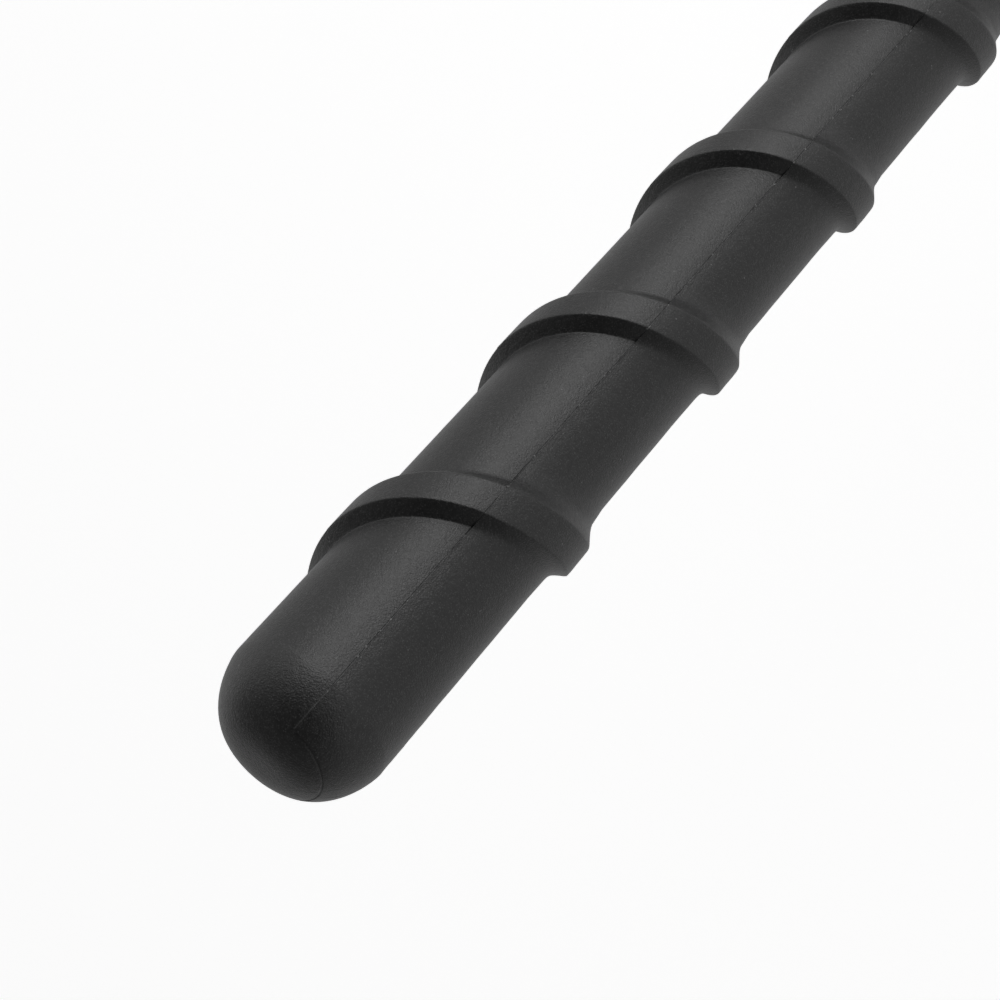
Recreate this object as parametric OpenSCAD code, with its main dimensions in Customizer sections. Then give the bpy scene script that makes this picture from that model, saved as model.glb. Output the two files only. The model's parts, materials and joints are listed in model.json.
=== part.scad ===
// Roof antenna: a short rubber mast with a helical rib, on a folding foot.
// Millimetres. The origin is the centre of the cable neck, where the seal's underside meets the roof.
// +Z points up out of the roof and +X to the front of the vehicle. The mast leans back, towards -X.

/* [Mast] */
// Length of the rubber jacket, from the ferrule's collar to the tip
mast_len = 180; // [140:5:240]
// Diameter of the jacket where the dome begins
tip_d = 9; // [8.4:0.1:10]
// Diameter of the jacket just above the boot, where it is slimmest
waist_d = 7.2; // [6.8:0.1:8.2]
// Diameter of the boot, at the collar
boot_d = 11.2; // [10.4:0.1:12]
// Height of the boot's straight part
boot_h = 5; // [3:0.5:8]
// Length over which the boot narrows to the waist
flare_len = 20; // [14:1:30]
// Length of the dome at the tip
dome_len = 3.4; // [3:0.1:5]
// How softly the dome turns in from the sides, where 2 is an ellipse
dome_turn = 1.3; // [1.2:0.1:3]
// How flat the dome is on top, where 2 is an ellipse
dome_flat = 3.1; // [2:0.1:4]

/* [Helical rib] */
// Distance from one turn of the rib to the next
rib_pitch = 14.5; // [10:0.1:20]
// Height of the rib above the jacket
rib_h = 0.8; // [0.4:0.05:1.1]
// Width of the rib's flat top, along the mast
rib_land = 1.95; // [1:0.05:2.4]
// Width of each sloping side of the rib, along the mast
rib_flank = 0.6; // [0.3:0.05:0.9]
// Distance from the tip to the middle of the rib where it begins
rib_start = 8.2; // [7.6:0.1:12]
// Angle round the mast at which the rib begins, from the front
rib_start_angle = 153; // [0:1:359]
// Turn over which the rib rises from nothing, at each end
rib_fade = 0.1; // [0.05:0.01:0.3]

/* [Mast core] */
// Diameter of the glass-fibre core
core_d = 3; // [2.6:0.1:3.2]
// Length of jacket at the tip that holds no core
core_tip_cover = 12; // [9:1:20]
// Diameter of the radiator wire
wire_d = 0.5; // [0.4:0.05:0.5]
// Distance between the radiator's turns
coil_pitch = 4; // [3.5:0.1:6]
// Wall of the sleeve that is shrunk over the winding
sleeve_wall = 0.25; // [0.15:0.05:0.25]
// Diameter of the ferrule's shank, which the jacket is moulded onto
shank_d = 6.4; // [6:0.1:6.6]
// Length of the ferrule's shank
shank_len = 14; // [10:1:18]
// Height of the core's lower end above the collar
core_foot_z = 4; // [2:0.5:6]

/* [Mast fitting] */
// Diameter of the mast's threaded stud
thread_d = 5; // [4:0.5:5]
// Length of the stud below the gasket
thread_len = 9; // [7:0.5:10]
// Diameter of the ferrule's collar
collar_d = 11; // [10:0.1:12]
// Thickness of the ferrule's collar
collar_h = 2.5; // [1.5:0.1:4]
// Thickness of the gasket under the collar
gasket_t = 1; // [0.6:0.1:1.5]

/* [Hinge] */
// Lean of the mast from upright
lean = 30; // [25:1:35]
// Height of the pivot above the roof
pivot_z = 14.5; // [14.2:0.1:15]
// Distance of the pivot behind the neck
pivot_back = 12; // [11.8:0.1:12.6]
// Diameter of the knuckle's hub
hub_d = 12.6; // [12:0.1:12.8]
// Width of the knuckle's hub
hub_w = 11; // [10:0.1:11.2]
// Distance from the pivot to the knuckle's seat
seat_dist = 17; // [16.5:0.5:20]
// Diameter of the knuckle at its seat
seat_d = 11.4; // [11:0.1:11.8]
// How much slimmer the knuckle's neck is than its hub is wide
neck_step = 0.2; // [0.1:0.1:0.8]
// Thickness of each friction washer
washer_t = 0.5; // [0.3:0.1:0.6]
// Diameter of the friction washers
washer_d = 9.6; // [8:0.1:10]
// Thickness of each ear of the bracket
ear_t = 2.7; // [2.4:0.1:2.9]
// Radius of the ears' round tops
ear_r = 4.2; // [4:0.1:4.3]
// Thickness of the bracket's foot
bracket_t = 2.5; // [2:0.1:2.6]
// Diameter of the pivot screw's shank
pivot_d = 4; // [3:0.1:4]
// Diameter of the pivot screw's head
pivot_head_d = 6.6; // [5.5:0.1:6.8]
// Thickness of the pivot screw's head
pivot_head_h = 2.2; // [1.6:0.1:2.4]
// Width of the pivot nut across its flats
pivot_nut_af = 7; // [6:0.1:7.2]
// Thickness of the pivot nut
pivot_nut_h = 2.2; // [1.8:0.1:2.4]

/* [Foot] */
// Length of the foot behind its widest place
foot_rear = 18; // [17.5:0.5:22]
// Length of the foot in front of its widest place
foot_nose = 50; // [49:0.5:56]
// Distance from the pivot nut's outer face to the foot's side
foot_side = 7; // [6.6:0.1:9]
// Distance of the widest place behind the neck
foot_mid_back = 10; // [9.5:0.1:10.4]
// Height of the cover's crown above the pivot
cover_rise = 10.5; // [10:0.1:13]
// Share of the cover's height that is lost towards the nose
nose_drop = 0.5; // [0.3:0.01:0.52]
// Wall of the cover
cover_wall = 2; // [1.6:0.1:2.1]
// Half the width of the slot that the knuckle folds through
slot_half_w = 6.2; // [6:0.1:6.6]
// Thickness of the base plate
plate_t = 3; // [2.6:0.1:3.2]
// Thickness of the roof seal
seal_t = 2; // [1.5:0.1:2.4]
// How far the seal stands out past the cover
seal_lip = 0.8; // [0.4:0.1:1.6]

/* [Neck and roof clamp] */
// Diameter of the threaded neck
neck_d = 14; // [12:0.5:14]
// Length of the neck below the roof's outer face
neck_len = 20; // [18:0.5:26]
// Diameter of the neck's bore
neck_bore_d = 7; // [5.5:0.1:7.4]
// Width of the square shoulder that stops the foot turning in the roof
shoulder_w = 15; // [15:0.1:16]
// Depth of the square shoulder below the roof's outer face
shoulder_h = 1.2; // [0.8:0.1:1.6]
// Thickness of roof and lining between the seal and the claws
roof_grip = 3; // [2.4:0.1:3.8]
// Height of the claws
claw_h = 2; // [1.5:0.1:2.5]
// Thickness of the claw washer's plate
claw_plate_t = 1.2; // [1:0.1:1.6]
// Diameter of the claw washer
claw_d = 25; // [23:0.5:28]
// Width of the roof nut across its flats
roof_nut_af = 19; // [18:0.5:22]
// Height of the roof nut
roof_nut_h = 7; // [5:0.5:8]
// Diameter of the grommet's hole, for the cable
cable_d = 3; // [2.5:0.1:3.5]
// Length of the grommet inside the neck
grommet_len = 6; // [4:0.5:7]

/* [Amplifier] */
// Length of the board
board_len = 21; // [20:0.5:22]
// Width of the board
board_w = 16; // [15.6:0.1:16.4]
// Thickness of the board
board_t = 1.6; // [1:0.1:1.6]
// Height of the posts that carry the board
post_h = 2.5; // [2:0.1:2.6]
// Distance of the board's rear edge in front of the neck's axis
board_front = 6; // [5.6:0.1:6.2]
// Length of the shield can
can_len = 9; // [8:0.1:9.5]
// Width of the shield can
can_w = 10; // [8:0.1:10.4]
// Height of the shield can
can_h = 2.8; // [2:0.1:3]
// Width of the contact spring's strip
spring_w = 3; // [2.4:0.1:3.2]
// Thickness of the contact spring's strip
spring_t = 0.3; // [0.2:0.05:0.4]

/* [Hidden] */
$fn = 48;

// Clearances: of a shaft that turns in its bore, of pieces that slide past, and of parts that only pass
run_fit = 0.05;
slip_fit = 0.05;
free_gap = 0.3;
// Overrun of a cutting shape past the faces that it cuts
over = 1;

// Facets round the jacket, round the foot, and of the fine coil
jacket_sides = 32;
foot_sides = 48;
foot_rings = 10;
coil_steps = 9;
wire_sides = 5;
dome_rings = 9;
flare_rings = 7;

// Heights of the stack on the roof
plate_z = seal_t;
floor_z = plate_z + plate_t;
pivot_x = -pivot_back;
thread_r = thread_d / 2;
stud_r = thread_r - run_fit;
pivot_r = pivot_d / 2;
ear_y = hub_w / 2 + washer_t + 2 * slip_fit;
ear_out_y = ear_y + ear_t;
nut_out_y = ear_out_y + slip_fit + pivot_nut_h;

// The foot is as wide and as high as the hinge inside it asks for
foot_half_w = nut_out_y + foot_side;
foot_h = pivot_z + cover_rise - plate_z;

// Places along the mast, measured up from the pivot
gasket_at = seat_dist + slip_fit;
collar_at = gasket_at + gasket_t;
jacket_at = collar_at + collar_h;

// Radii of the winding, from the core outwards
coil_r = (core_d / 2 + slip_fit) / cos(180 / coil_steps) + wire_d / 2;
sleeve_in_r = coil_r + wire_d / 2 + slip_fit;
sleeve_out_r = sleeve_in_r + sleeve_wall;
jacket_bore_r = sleeve_out_r + slip_fit;
shank_hole_r = shank_d / 2 + slip_fit;
core_top_z = mast_len - core_tip_cover;

module at_pivot() {
    translate([pivot_x, 0, pivot_z])
        rotate([0, -lean, 0])
            children();
}

module on_mast() {
    at_pivot()
        translate([0, 0, jacket_at])
            children();
}

module ring(outer_r, inner_r, height) {
    difference() {
        cylinder(r = outer_r, h = height);
        translate([0, 0, -over])
            cylinder(r = inner_r, h = height + 2 * over);
    }
}

module across_y(from_y, to_y) {
    translate([0, to_y, 0])
        rotate([90, 0, 0])
            linear_extrude(to_y - from_y)
                children();
}

// Mast jacket: radius of its body at height z, without the rib
flare_top = boot_h + flare_len;
dome_z = mast_len - dome_len;
function flare_r(z) =
    let (t = (z - boot_h) / flare_len)
    (boot_d + waist_d) / 4 + (boot_d - waist_d) / 4 * cos(180 * t);
function taper_r(z) =
    let (t = (z - flare_top) / (dome_z - flare_top))
    (waist_d + (tip_d - waist_d) * t) / 2;
function dome_r(z) =
    tip_d / 2 * pow(max(0, 1 - pow((z - dome_z) / dome_len, dome_turn)), 1 / dome_flat);
function body_r(z) = z <= boot_h ? boot_d / 2
    : z < flare_top ? flare_r(z)
    : z <= dome_z ? taper_r(z)
    : dome_r(z);

// The rib's section, as offsets along the mast from the rib's middle and shares of its height
rib_round = min(rib_flank, rib_land / 2) / 4;
rib_section = [
    [-rib_land / 2 - rib_flank, 0],
    [-rib_land / 2 - rib_round, 0.85],
    [-rib_land / 2 + rib_round, 1],
    [rib_land / 2 - rib_round, 1],
    [rib_land / 2 + rib_round, 0.85],
    [rib_land / 2 + rib_flank, 0]
];
rib_half = rib_land / 2 + rib_flank;
rib_top_z = min(mast_len - rib_start, dome_z - rib_half);
rib_low_z = flare_top + rib_half + 1;
rib_cols = floor(jacket_sides * (rib_top_z - rib_low_z) / rib_pitch);
rib_pts = len(rib_section);

// Column k of the rib stands at this angle, with its middle at this height
function col_angle(k) = rib_start_angle - 360 * (rib_cols - k) / jacket_sides;
function col_z(k) = rib_top_z - rib_pitch * (rib_cols - k) / jacket_sides;
function col_rise(k) = min(1, min(k, rib_cols - k) / (rib_fade * jacket_sides));
function skin_point(r, angle, z) = [r * cos(angle), r * sin(angle), z];
function rib_point(k, j) =
    let (z = col_z(k) + rib_section[j][0])
    skin_point(body_r(z) + rib_h * rib_section[j][1] * col_rise(k), col_angle(k), z);

// Plain rings below and above the rib, each a height
low_rings = concat([0], [for (i = [0 : flare_rings]) boot_h + flare_len * i / flare_rings]);
top_rings = [for (i = [0 : dome_rings - 1]) dome_z + dome_len * sin(90 * i / dome_rings)];
low_count = len(low_rings) * jacket_sides;
rib_count = (rib_cols + 1) * rib_pts;
top_count = len(top_rings) * jacket_sides;

// Indices of the skin's points
function low_i(ring, k) = ring * jacket_sides + k % jacket_sides;
function rib_i(k, j) = low_count + k * rib_pts + j;
function top_i(ring, k) = low_count + rib_count + ring * jacket_sides + k % jacket_sides;
function quad(a, b, c, d) = [[a, b, c], [a, c, d]];

jacket_points = concat(
    [for (z = low_rings, k = [0 : jacket_sides - 1]) skin_point(body_r(z), col_angle(k), z)],
    [for (k = [0 : rib_cols], j = [0 : rib_pts - 1]) rib_point(k, j)],
    [for (z = top_rings, k = [0 : jacket_sides - 1]) skin_point(body_r(z), col_angle(k), z)],
    [[0, 0, mast_len]]
);

// The rib is one strip wound up the mast, and each turn's lower edge meets the turn below
last_low = len(low_rings) - 1;
last_top = len(top_rings) - 1;
under_seam = rib_cols - jacket_sides;
jacket_faces = concat(
    [[for (k = [0 : jacket_sides - 1]) low_i(0, jacket_sides - 1 - k)]],
    [for (i = [0 : last_low - 1], k = [0 : jacket_sides - 1])
        each quad(low_i(i, k), low_i(i, k + 1), low_i(i + 1, k + 1), low_i(i + 1, k))],
    [for (k = [0 : jacket_sides - 2])
        each quad(low_i(last_low, k), low_i(last_low, k + 1), rib_i(k + 1, 0), rib_i(k, 0))],
    [concat(
        [rib_i(jacket_sides - 1, 0), low_i(last_low, jacket_sides - 1), low_i(last_low, 0)],
        [for (j = [0 : rib_pts - 1]) rib_i(0, j)],
        [rib_i(jacket_sides, 0)]
    )],
    [for (k = [0 : rib_cols - 1], j = [0 : rib_pts - 2])
        each quad(rib_i(k, j), rib_i(k + 1, j), rib_i(k + 1, j + 1), rib_i(k, j + 1))],
    [for (k = [0 : under_seam - 1])
        each quad(
            rib_i(k, rib_pts - 1), rib_i(k + 1, rib_pts - 1),
            rib_i(k + 1 + jacket_sides, 0), rib_i(k + jacket_sides, 0)
        )],
    [concat(
        [rib_i(under_seam + 1, rib_pts - 1), top_i(0, under_seam + 1), top_i(0, rib_cols)],
        [for (j = [rib_pts - 1 : -1 : 0]) rib_i(rib_cols, j)],
        [rib_i(under_seam, rib_pts - 1)]
    )],
    [for (k = [under_seam + 1 : rib_cols - 1])
        each quad(rib_i(k, rib_pts - 1), rib_i(k + 1, rib_pts - 1), top_i(0, k + 1), top_i(0, k))],
    [for (i = [0 : last_top - 1], k = [0 : jacket_sides - 1])
        each quad(top_i(i, k), top_i(i, k + 1), top_i(i + 1, k + 1), top_i(i + 1, k))],
    [for (k = [0 : jacket_sides - 1])
        [top_i(last_top, k), top_i(last_top, k + 1), low_count + rib_count + top_count]]
);

// A polyhedron's faces are listed clockwise as seen from outside
function inward(faces) = [for (f = faces) [for (i = [len(f) - 1 : -1 : 0]) f[i]]];

module mast_jacket() {
    color("#2b2b2c")
        on_mast()
            difference() {
                polyhedron(points = jacket_points, faces = inward(jacket_faces), convexity = 10);
                translate([0, 0, -over])
                    cylinder(r = shank_hole_r, h = shank_len + slip_fit + over);
                translate([0, 0, -over])
                    cylinder(r = jacket_bore_r, h = core_top_z + slip_fit + over);
            }
}

module core_rod() {
    color("#d8d2b8")
        on_mast()
            translate([0, 0, core_foot_z + slip_fit])
                cylinder(d = core_d, h = core_top_z - core_foot_z - slip_fit);
}

// The winding starts on the ferrule's top face and ends short of the core's end
coil_low = shank_len + wire_d / 2 + slip_fit;
coil_top = core_top_z - 4 * wire_d;
coil_cols = floor(coil_steps * (coil_top - coil_low) / coil_pitch);
coil_slope = atan(coil_pitch / (2 * PI * coil_r));
function coil_point(k, s) =
    let (a = 360 * k / coil_steps)
    let (side = wire_d / 2 * cos(360 * s / wire_sides))
    let (rise = wire_d / 2 * sin(360 * s / wire_sides))
    let (r = coil_r + side)
    [
        r * cos(a) + rise * sin(coil_slope) * sin(a),
        r * sin(a) - rise * sin(coil_slope) * cos(a),
        coil_low + coil_pitch * k / coil_steps + rise * cos(coil_slope)
    ];
function coil_i(k, s) = k * wire_sides + s % wire_sides;

module radiator_wire() {
    color("#b8703a")
        on_mast()
            polyhedron(
                points = [for (k = [0 : coil_cols], s = [0 : wire_sides - 1]) coil_point(k, s)],
                faces = concat(
                    [[for (s = [0 : wire_sides - 1]) coil_i(0, s)]],
                    [for (k = [0 : coil_cols - 1], s = [0 : wire_sides - 1])
                        each quad(coil_i(k, s), coil_i(k + 1, s), coil_i(k + 1, s + 1), coil_i(k, s + 1))],
                    [[for (s = [0 : wire_sides - 1]) coil_i(coil_cols, wire_sides - 1 - s)]]
                ),
                convexity = 10
            );
}

module winding_sleeve() {
    color("#3a3a3a")
        on_mast()
            translate([0, 0, shank_len + slip_fit])
                ring(sleeve_out_r, sleeve_in_r, core_top_z - shank_len - slip_fit);
}

// The shank has three grooves that lock the rubber to it
groove_w = 1.2;
groove_depth = 0.4;
module mast_ferrule() {
    color("#c9c6bd")
        at_pivot()
            difference() {
                union() {
                    translate([0, 0, gasket_at - thread_len])
                        cylinder(r = stud_r, h = thread_len + gasket_t + collar_h);
                    translate([0, 0, collar_at])
                        cylinder(d = collar_d, h = collar_h);
                    translate([0, 0, jacket_at - over])
                        cylinder(d = shank_d, h = shank_len + over);
                }
                for (i = [1 : 3])
                    translate([0, 0, jacket_at + i * shank_len / 4])
                        ring(shank_d, shank_d / 2 - groove_depth, groove_w);
                translate([0, 0, jacket_at + core_foot_z])
                    cylinder(r = core_d / 2 + slip_fit, h = shank_len + over);
            }
}

module seat_gasket() {
    color("#1e1e1f")
        at_pivot()
            translate([0, 0, gasket_at])
                ring(collar_d / 2 - slip_fit, thread_r + slip_fit, gasket_t);
}

// Knuckle: a hub on the pivot, a stout neck to the seat, a threaded socket and a stop lug
socket_foot = pivot_r + 2;
neck_foot = hub_d / 4;
neck_low_d = hub_w - neck_step;
lug_reach = 1.4;
lug_w = 3;
lug_y = -(hub_w / 2 - 1);
lug_h = 3;
lug_low_z = -2.3;
module knuckle() {
    color("#232324")
        difference() {
            union() {
                translate([pivot_x, 0, pivot_z])
                    across_y(-hub_w / 2, hub_w / 2)
                        circle(d = hub_d);
                at_pivot()
                    translate([0, 0, neck_foot])
                        cylinder(d1 = neck_low_d, d2 = seat_d, h = seat_dist - neck_foot);
                translate([pivot_x, lug_y, pivot_z + lug_low_z])
                    cube([hub_d / 2 + lug_reach, lug_w, lug_h]);
            }
            translate([pivot_x, 0, pivot_z])
                across_y(-hub_w / 2 - over, hub_w / 2 + over)
                    circle(r = pivot_r + run_fit);
            at_pivot()
                translate([0, 0, socket_foot])
                    cylinder(r = thread_r, h = seat_dist);
        }
}

module friction_washer(y) {
    translate([pivot_x, y + washer_t, pivot_z])
        rotate([90, 0, 0])
            ring(washer_d / 2, pivot_r + 2 * run_fit, washer_t);
}

module friction_washer_left() {
    color("#8f8c86")
        friction_washer(hub_w / 2 + slip_fit);
}

module friction_washer_right() {
    color("#8f8c86")
        friction_washer(-hub_w / 2 - slip_fit - washer_t);
}

// The pivot screw passes both ears and ends just past its nut
hex_key = 2.5;
screw_tail = 0.3;
screw_end_y = nut_out_y + screw_tail;
module pivot_screw() {
    color("#b9bcc0")
        translate([pivot_x, 0, pivot_z])
            difference() {
                union() {
                    across_y(-ear_out_y - slip_fit - over, screw_end_y)
                        circle(r = pivot_r);
                    across_y(-ear_out_y - slip_fit - pivot_head_h, -ear_out_y - slip_fit)
                        circle(d = pivot_head_d);
                }
                across_y(-ear_out_y - slip_fit - pivot_head_h - over, -ear_out_y - slip_fit - over)
                    circle(d = hex_key / cos(30), $fn = 6);
            }
}

module pivot_nut() {
    color("#b9bcc0")
        translate([pivot_x, 0, pivot_z])
            across_y(nut_out_y - pivot_nut_h, nut_out_y)
                difference() {
                    circle(d = pivot_nut_af / cos(30), $fn = 6);
                    circle(r = pivot_r + run_fit);
                }
}

// Hinge bracket: two ears on a foot, a stop for the lug, and three screw lugs
bracket_screw_d = 2.2;
bracket_head_d = 3.7;
bracket_head_h = 1.3;
bracket_lug_r = 2.4;
bracket_edge = 0.4;
ear_step = 0.7;
bracket_rear = ear_r + bracket_edge;
bracket_half_w = ear_out_y - ear_step;
stop_t = 1.6;
stop_gap = 0.6;
stop_front_x = pivot_x + hub_d / 2 + lug_reach + stop_gap;
front_lug_x = pivot_x + ear_r + bracket_lug_r - 0.2;
front_lug_y = ear_y + bracket_edge;
rear_lug_x = pivot_x - 3.25 * bracket_lug_r;
tongue_w = 2 * bracket_lug_r - 0.8;
bracket_screw_places = [
    [front_lug_x, front_lug_y],
    [front_lug_x, -front_lug_y],
    [rear_lug_x, 0]
];
module ear() {
    across_y(0, ear_t)
        difference() {
            union() {
                translate([pivot_x, pivot_z])
                    circle(r = ear_r);
                translate([pivot_x - ear_r, floor_z])
                    square([2 * ear_r, pivot_z - floor_z]);
            }
            translate([pivot_x, pivot_z])
                circle(r = pivot_r + run_fit);
        }
}

module hinge_bracket() {
    color("#3b3d40") {
        difference() {
            union() {
                translate([pivot_x - bracket_rear, -bracket_half_w, floor_z])
                    cube([bracket_rear + ear_r + 1, 2 * bracket_half_w, bracket_t]);
                for (p = bracket_screw_places)
                    translate([p[0], p[1], floor_z])
                        cylinder(r = bracket_lug_r, h = bracket_t);
                translate([rear_lug_x, -tongue_w / 2, floor_z])
                    cube([pivot_x - rear_lug_x, tongue_w, bracket_t]);
                translate([0, ear_y, 0])
                    ear();
                translate([0, -ear_y - ear_t, 0])
                    ear();
                translate([pivot_x + ear_r, lug_y, floor_z])
                    cube([stop_front_x - pivot_x - ear_r, lug_w, bracket_t]);
                translate([stop_front_x - stop_t - stop_gap, lug_y, floor_z])
                    cube([stop_t, lug_w, pivot_z + lug_low_z - free_gap - floor_z]);
            }
            for (p = bracket_screw_places)
                translate([p[0], p[1], floor_z - over])
                    cylinder(d = bracket_screw_d + 2 * slip_fit, h = bracket_t + 2 * over);
        }
    }
}

module pan_screw(shank_d, shank_len, head_d, head_h) {
    difference() {
        union() {
            translate([0, 0, -shank_len])
                cylinder(d = shank_d, h = shank_len + head_h / 2);
            cylinder(d = head_d, h = head_h);
        }
        for (a = [0, 90])
            rotate([0, 0, a])
                translate([-head_d * 0.3, -head_d * 0.07, head_h / 2])
                    cube([head_d * 0.6, head_d * 0.14, head_h]);
    }
}

bracket_screw_depth = 1.6;
module bracket_screws() {
    color("#b9bcc0")
        for (p = bracket_screw_places)
            translate([p[0], p[1], floor_z + bracket_t])
                pan_screw(bracket_screw_d, bracket_t + bracket_screw_depth, bracket_head_d, bracket_head_h);
}

// The foot's outline in plan, drawn in by a margin: round behind its middle, longer in front
foot_mid_x = -foot_mid_back;
function plan_x(a, margin) = cos(a) >= 0
    ? (foot_nose - margin) * cos(a)
    : -(foot_rear - margin) * pow(-cos(a), 0.87);
function plan_y(a, margin) =
    (foot_half_w - margin) * sign(sin(a)) * pow(abs(sin(a)), cos(a) >= 0 ? 1 : 0.87);

module foot_plan(margin) {
    polygon([
        for (k = [0 : foot_sides - 1])
            let (a = 360 * k / foot_sides)
            [foot_mid_x + plan_x(a, margin), plan_y(a, margin)]
    ]);
}

// The foot's form: rings of the plan that close towards a crown, lower towards the nose
function crown(x, margin) =
    (foot_h - margin) * (1 - nose_drop * pow(max(0, x) / foot_nose, 1.5));
function form_point(ring, k, margin) =
    let (b = 90 * ring / foot_rings)
    let (a = 360 * k / foot_sides)
    let (x = plan_x(a, margin) * pow(cos(b), 0.8))
    let (y = plan_y(a, margin) * pow(cos(b), 0.8))
    [foot_mid_x + x, y, plate_z + pow(sin(b), 0.8) * crown(x, margin)];
function form_i(ring, k) = ring * foot_sides + k % foot_sides;

module foot_form(margin, skirt) {
    base_ring = [
        for (k = [0 : foot_sides - 1])
            let (p = form_point(0, k, margin))
            [p[0], p[1], p[2] - skirt]
    ];
    wall = [for (ring = [0 : foot_rings - 1], k = [0 : foot_sides - 1]) form_point(ring, k, margin)];
    crown_point = [[foot_mid_x, 0, plate_z + crown(0, margin)]];
    first = skirt > 0 ? 0 : 1;
    rings = foot_rings + 1;
    faces = concat(
        [[for (k = [0 : foot_sides - 1]) form_i(first, foot_sides - 1 - k)]],
        [for (ring = [first : rings - 2], k = [0 : foot_sides - 1])
            each quad(form_i(ring, k), form_i(ring, k + 1), form_i(ring + 1, k + 1), form_i(ring + 1, k))],
        [for (k = [0 : foot_sides - 1])
            [form_i(rings - 1, k), form_i(rings - 1, k + 1), rings * foot_sides]]
    );
    polyhedron(points = concat(base_ring, wall, crown_point), faces = inward(faces), convexity = 4);
}

// Cover screws, as places on the base plate and the height of the boss above it
boss_r = 2.5;
cover_screw_d = 2.5;
cover_screw_len = 7.5;
cover_head_d = 4.4;
cover_head_h = 1.5;
rear_boss_x = foot_mid_x - 0.53 * foot_rear;
rear_boss_y = foot_half_w / 2;
nose_boss_x = foot_mid_x + 0.8 * foot_nose;
cover_screw_places = [
    [rear_boss_x, rear_boss_y],
    [rear_boss_x, -rear_boss_y],
    [nose_boss_x, 0]
];
module at_cover_screws() {
    for (p = cover_screw_places)
        translate([p[0], p[1], 0])
            children();
}

// Base plate: the casting with its hollow neck, the square shoulder and the board's posts
// The cover's walls lean in most at the nose, and the plate's edge stays inside them at its top
nose_crown = (foot_h - cover_wall) * (1 - nose_drop);
plate_draft = foot_nose * (1 - pow(cos(asin(pow(plate_t / nose_crown, 1 / 0.8))), 0.8));
plate_margin = cover_wall + free_gap + plate_draft;
post_r = 1.8;
post_inset = 2;
post_places = [
    [board_front + 2 * post_r, board_w / 2 - post_inset],
    [board_front + 2 * post_r, -(board_w / 2 - post_inset)],
    [board_front + board_len - post_inset - 0.5, 0]
];
board_screw_d = 1.8;
board_screw_len = 3.5;
board_head_d = 3.2;
board_head_h = 1.1;
module base_plate() {
    color("#a8aaad")
        difference() {
            union() {
                translate([0, 0, plate_z])
                    linear_extrude(plate_t)
                        foot_plan(plate_margin);
                translate([0, 0, -neck_len])
                    cylinder(d = neck_d, h = neck_len + plate_z + over);
                translate([-shoulder_w / 2, -shoulder_w / 2, -shoulder_h])
                    cube([shoulder_w, shoulder_w, shoulder_h + plate_z + over]);
                for (p = post_places)
                    translate([p[0], p[1], floor_z - over])
                        cylinder(r = post_r, h = post_h + over);
            }
            translate([0, 0, -neck_len - over])
                cylinder(d = neck_bore_d, h = neck_len + floor_z + 2 * over);
            at_cover_screws()
                translate([0, 0, plate_z - over])
                    cylinder(d = cover_screw_d + 2 * free_gap, h = plate_t + 2 * over);
            at_cover_screws()
                translate([0, 0, plate_z - over])
                    cylinder(d = cover_head_d + 2 * slip_fit, h = cover_head_h + over);
            for (p = bracket_screw_places)
                translate([p[0], p[1], floor_z - bracket_screw_depth - slip_fit])
                    cylinder(d = bracket_screw_d + 2 * slip_fit, h = bracket_screw_depth + over);
            for (p = post_places)
                translate([p[0], p[1], floor_z + post_h - board_screw_len + board_t - slip_fit])
                    cylinder(d = board_screw_d + 2 * slip_fit, h = board_screw_len + over);
        }
}

// Foot cover: the moulded shell, with bosses for its screws and the slot for the knuckle
slot_low_z = 9.6;
slot_front = seat_d / 2 + free_gap;
boss_z = floor_z + slip_fit;
module foot_cover() {
    color("#262627")
        difference() {
            union() {
                difference() {
                    foot_form(0, 0);
                    foot_form(cover_wall, over);
                }
                intersection() {
                    at_cover_screws()
                        translate([0, 0, boss_z])
                            cylinder(r = boss_r, h = foot_h);
                    foot_form(cover_wall / 2, 0);
                }
            }
            at_cover_screws()
                translate([0, 0, boss_z - over])
                    cylinder(d = cover_screw_d + 2 * slip_fit, h = cover_screw_len - plate_t + cover_head_h + over);
            intersection() {
                at_pivot()
                    translate([slot_front - 3 * foot_rear, -slot_half_w, -foot_h])
                        cube([3 * foot_rear, 2 * slot_half_w, 3 * foot_h]);
                translate([-3 * foot_rear, -slot_half_w, slot_low_z])
                    cube([3 * foot_rear, 2 * slot_half_w, 2 * foot_h]);
            }
        }
}

module cover_screws() {
    color("#b9bcc0")
        at_cover_screws()
            translate([0, 0, plate_z + cover_head_h])
                mirror([0, 0, 1])
                    pan_screw(cover_screw_d, cover_screw_len, cover_head_d, cover_head_h - slip_fit);
}

module roof_seal() {
    color("#1c1c1d")
        difference() {
            linear_extrude(seal_t)
                foot_plan(-seal_lip);
            translate([0, 0, -over])
                cylinder(d = shoulder_w * sqrt(2) + 2 * free_gap, h = seal_t + 2 * over);
        }
}

// Claw washer: a plate with four teeth that bite into the roof's lining
claw_top_z = -roof_grip;
claw_plate_z = claw_top_z - claw_h;
module claw_washer() {
    color("#b5a77a")
        difference() {
            union() {
                translate([0, 0, claw_plate_z - claw_plate_t])
                    cylinder(d = claw_d, h = claw_plate_t);
                for (a = [45 : 90 : 315])
                    rotate([0, 0, a])
                        translate([claw_d / 2 - claw_plate_t - 0.5, 0, claw_plate_z - over])
                            rotate([90, 0, 90])
                                linear_extrude(claw_plate_t)
                                    polygon([[-2.5, 0], [2.5, 0], [2.5, over], [0, over + claw_h], [-2.5, over]]);
            }
            translate([0, 0, claw_plate_z - claw_plate_t - over])
                cylinder(r = neck_d / 2 + free_gap, h = claw_h + claw_plate_t + 2 * over);
        }
}

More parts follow.
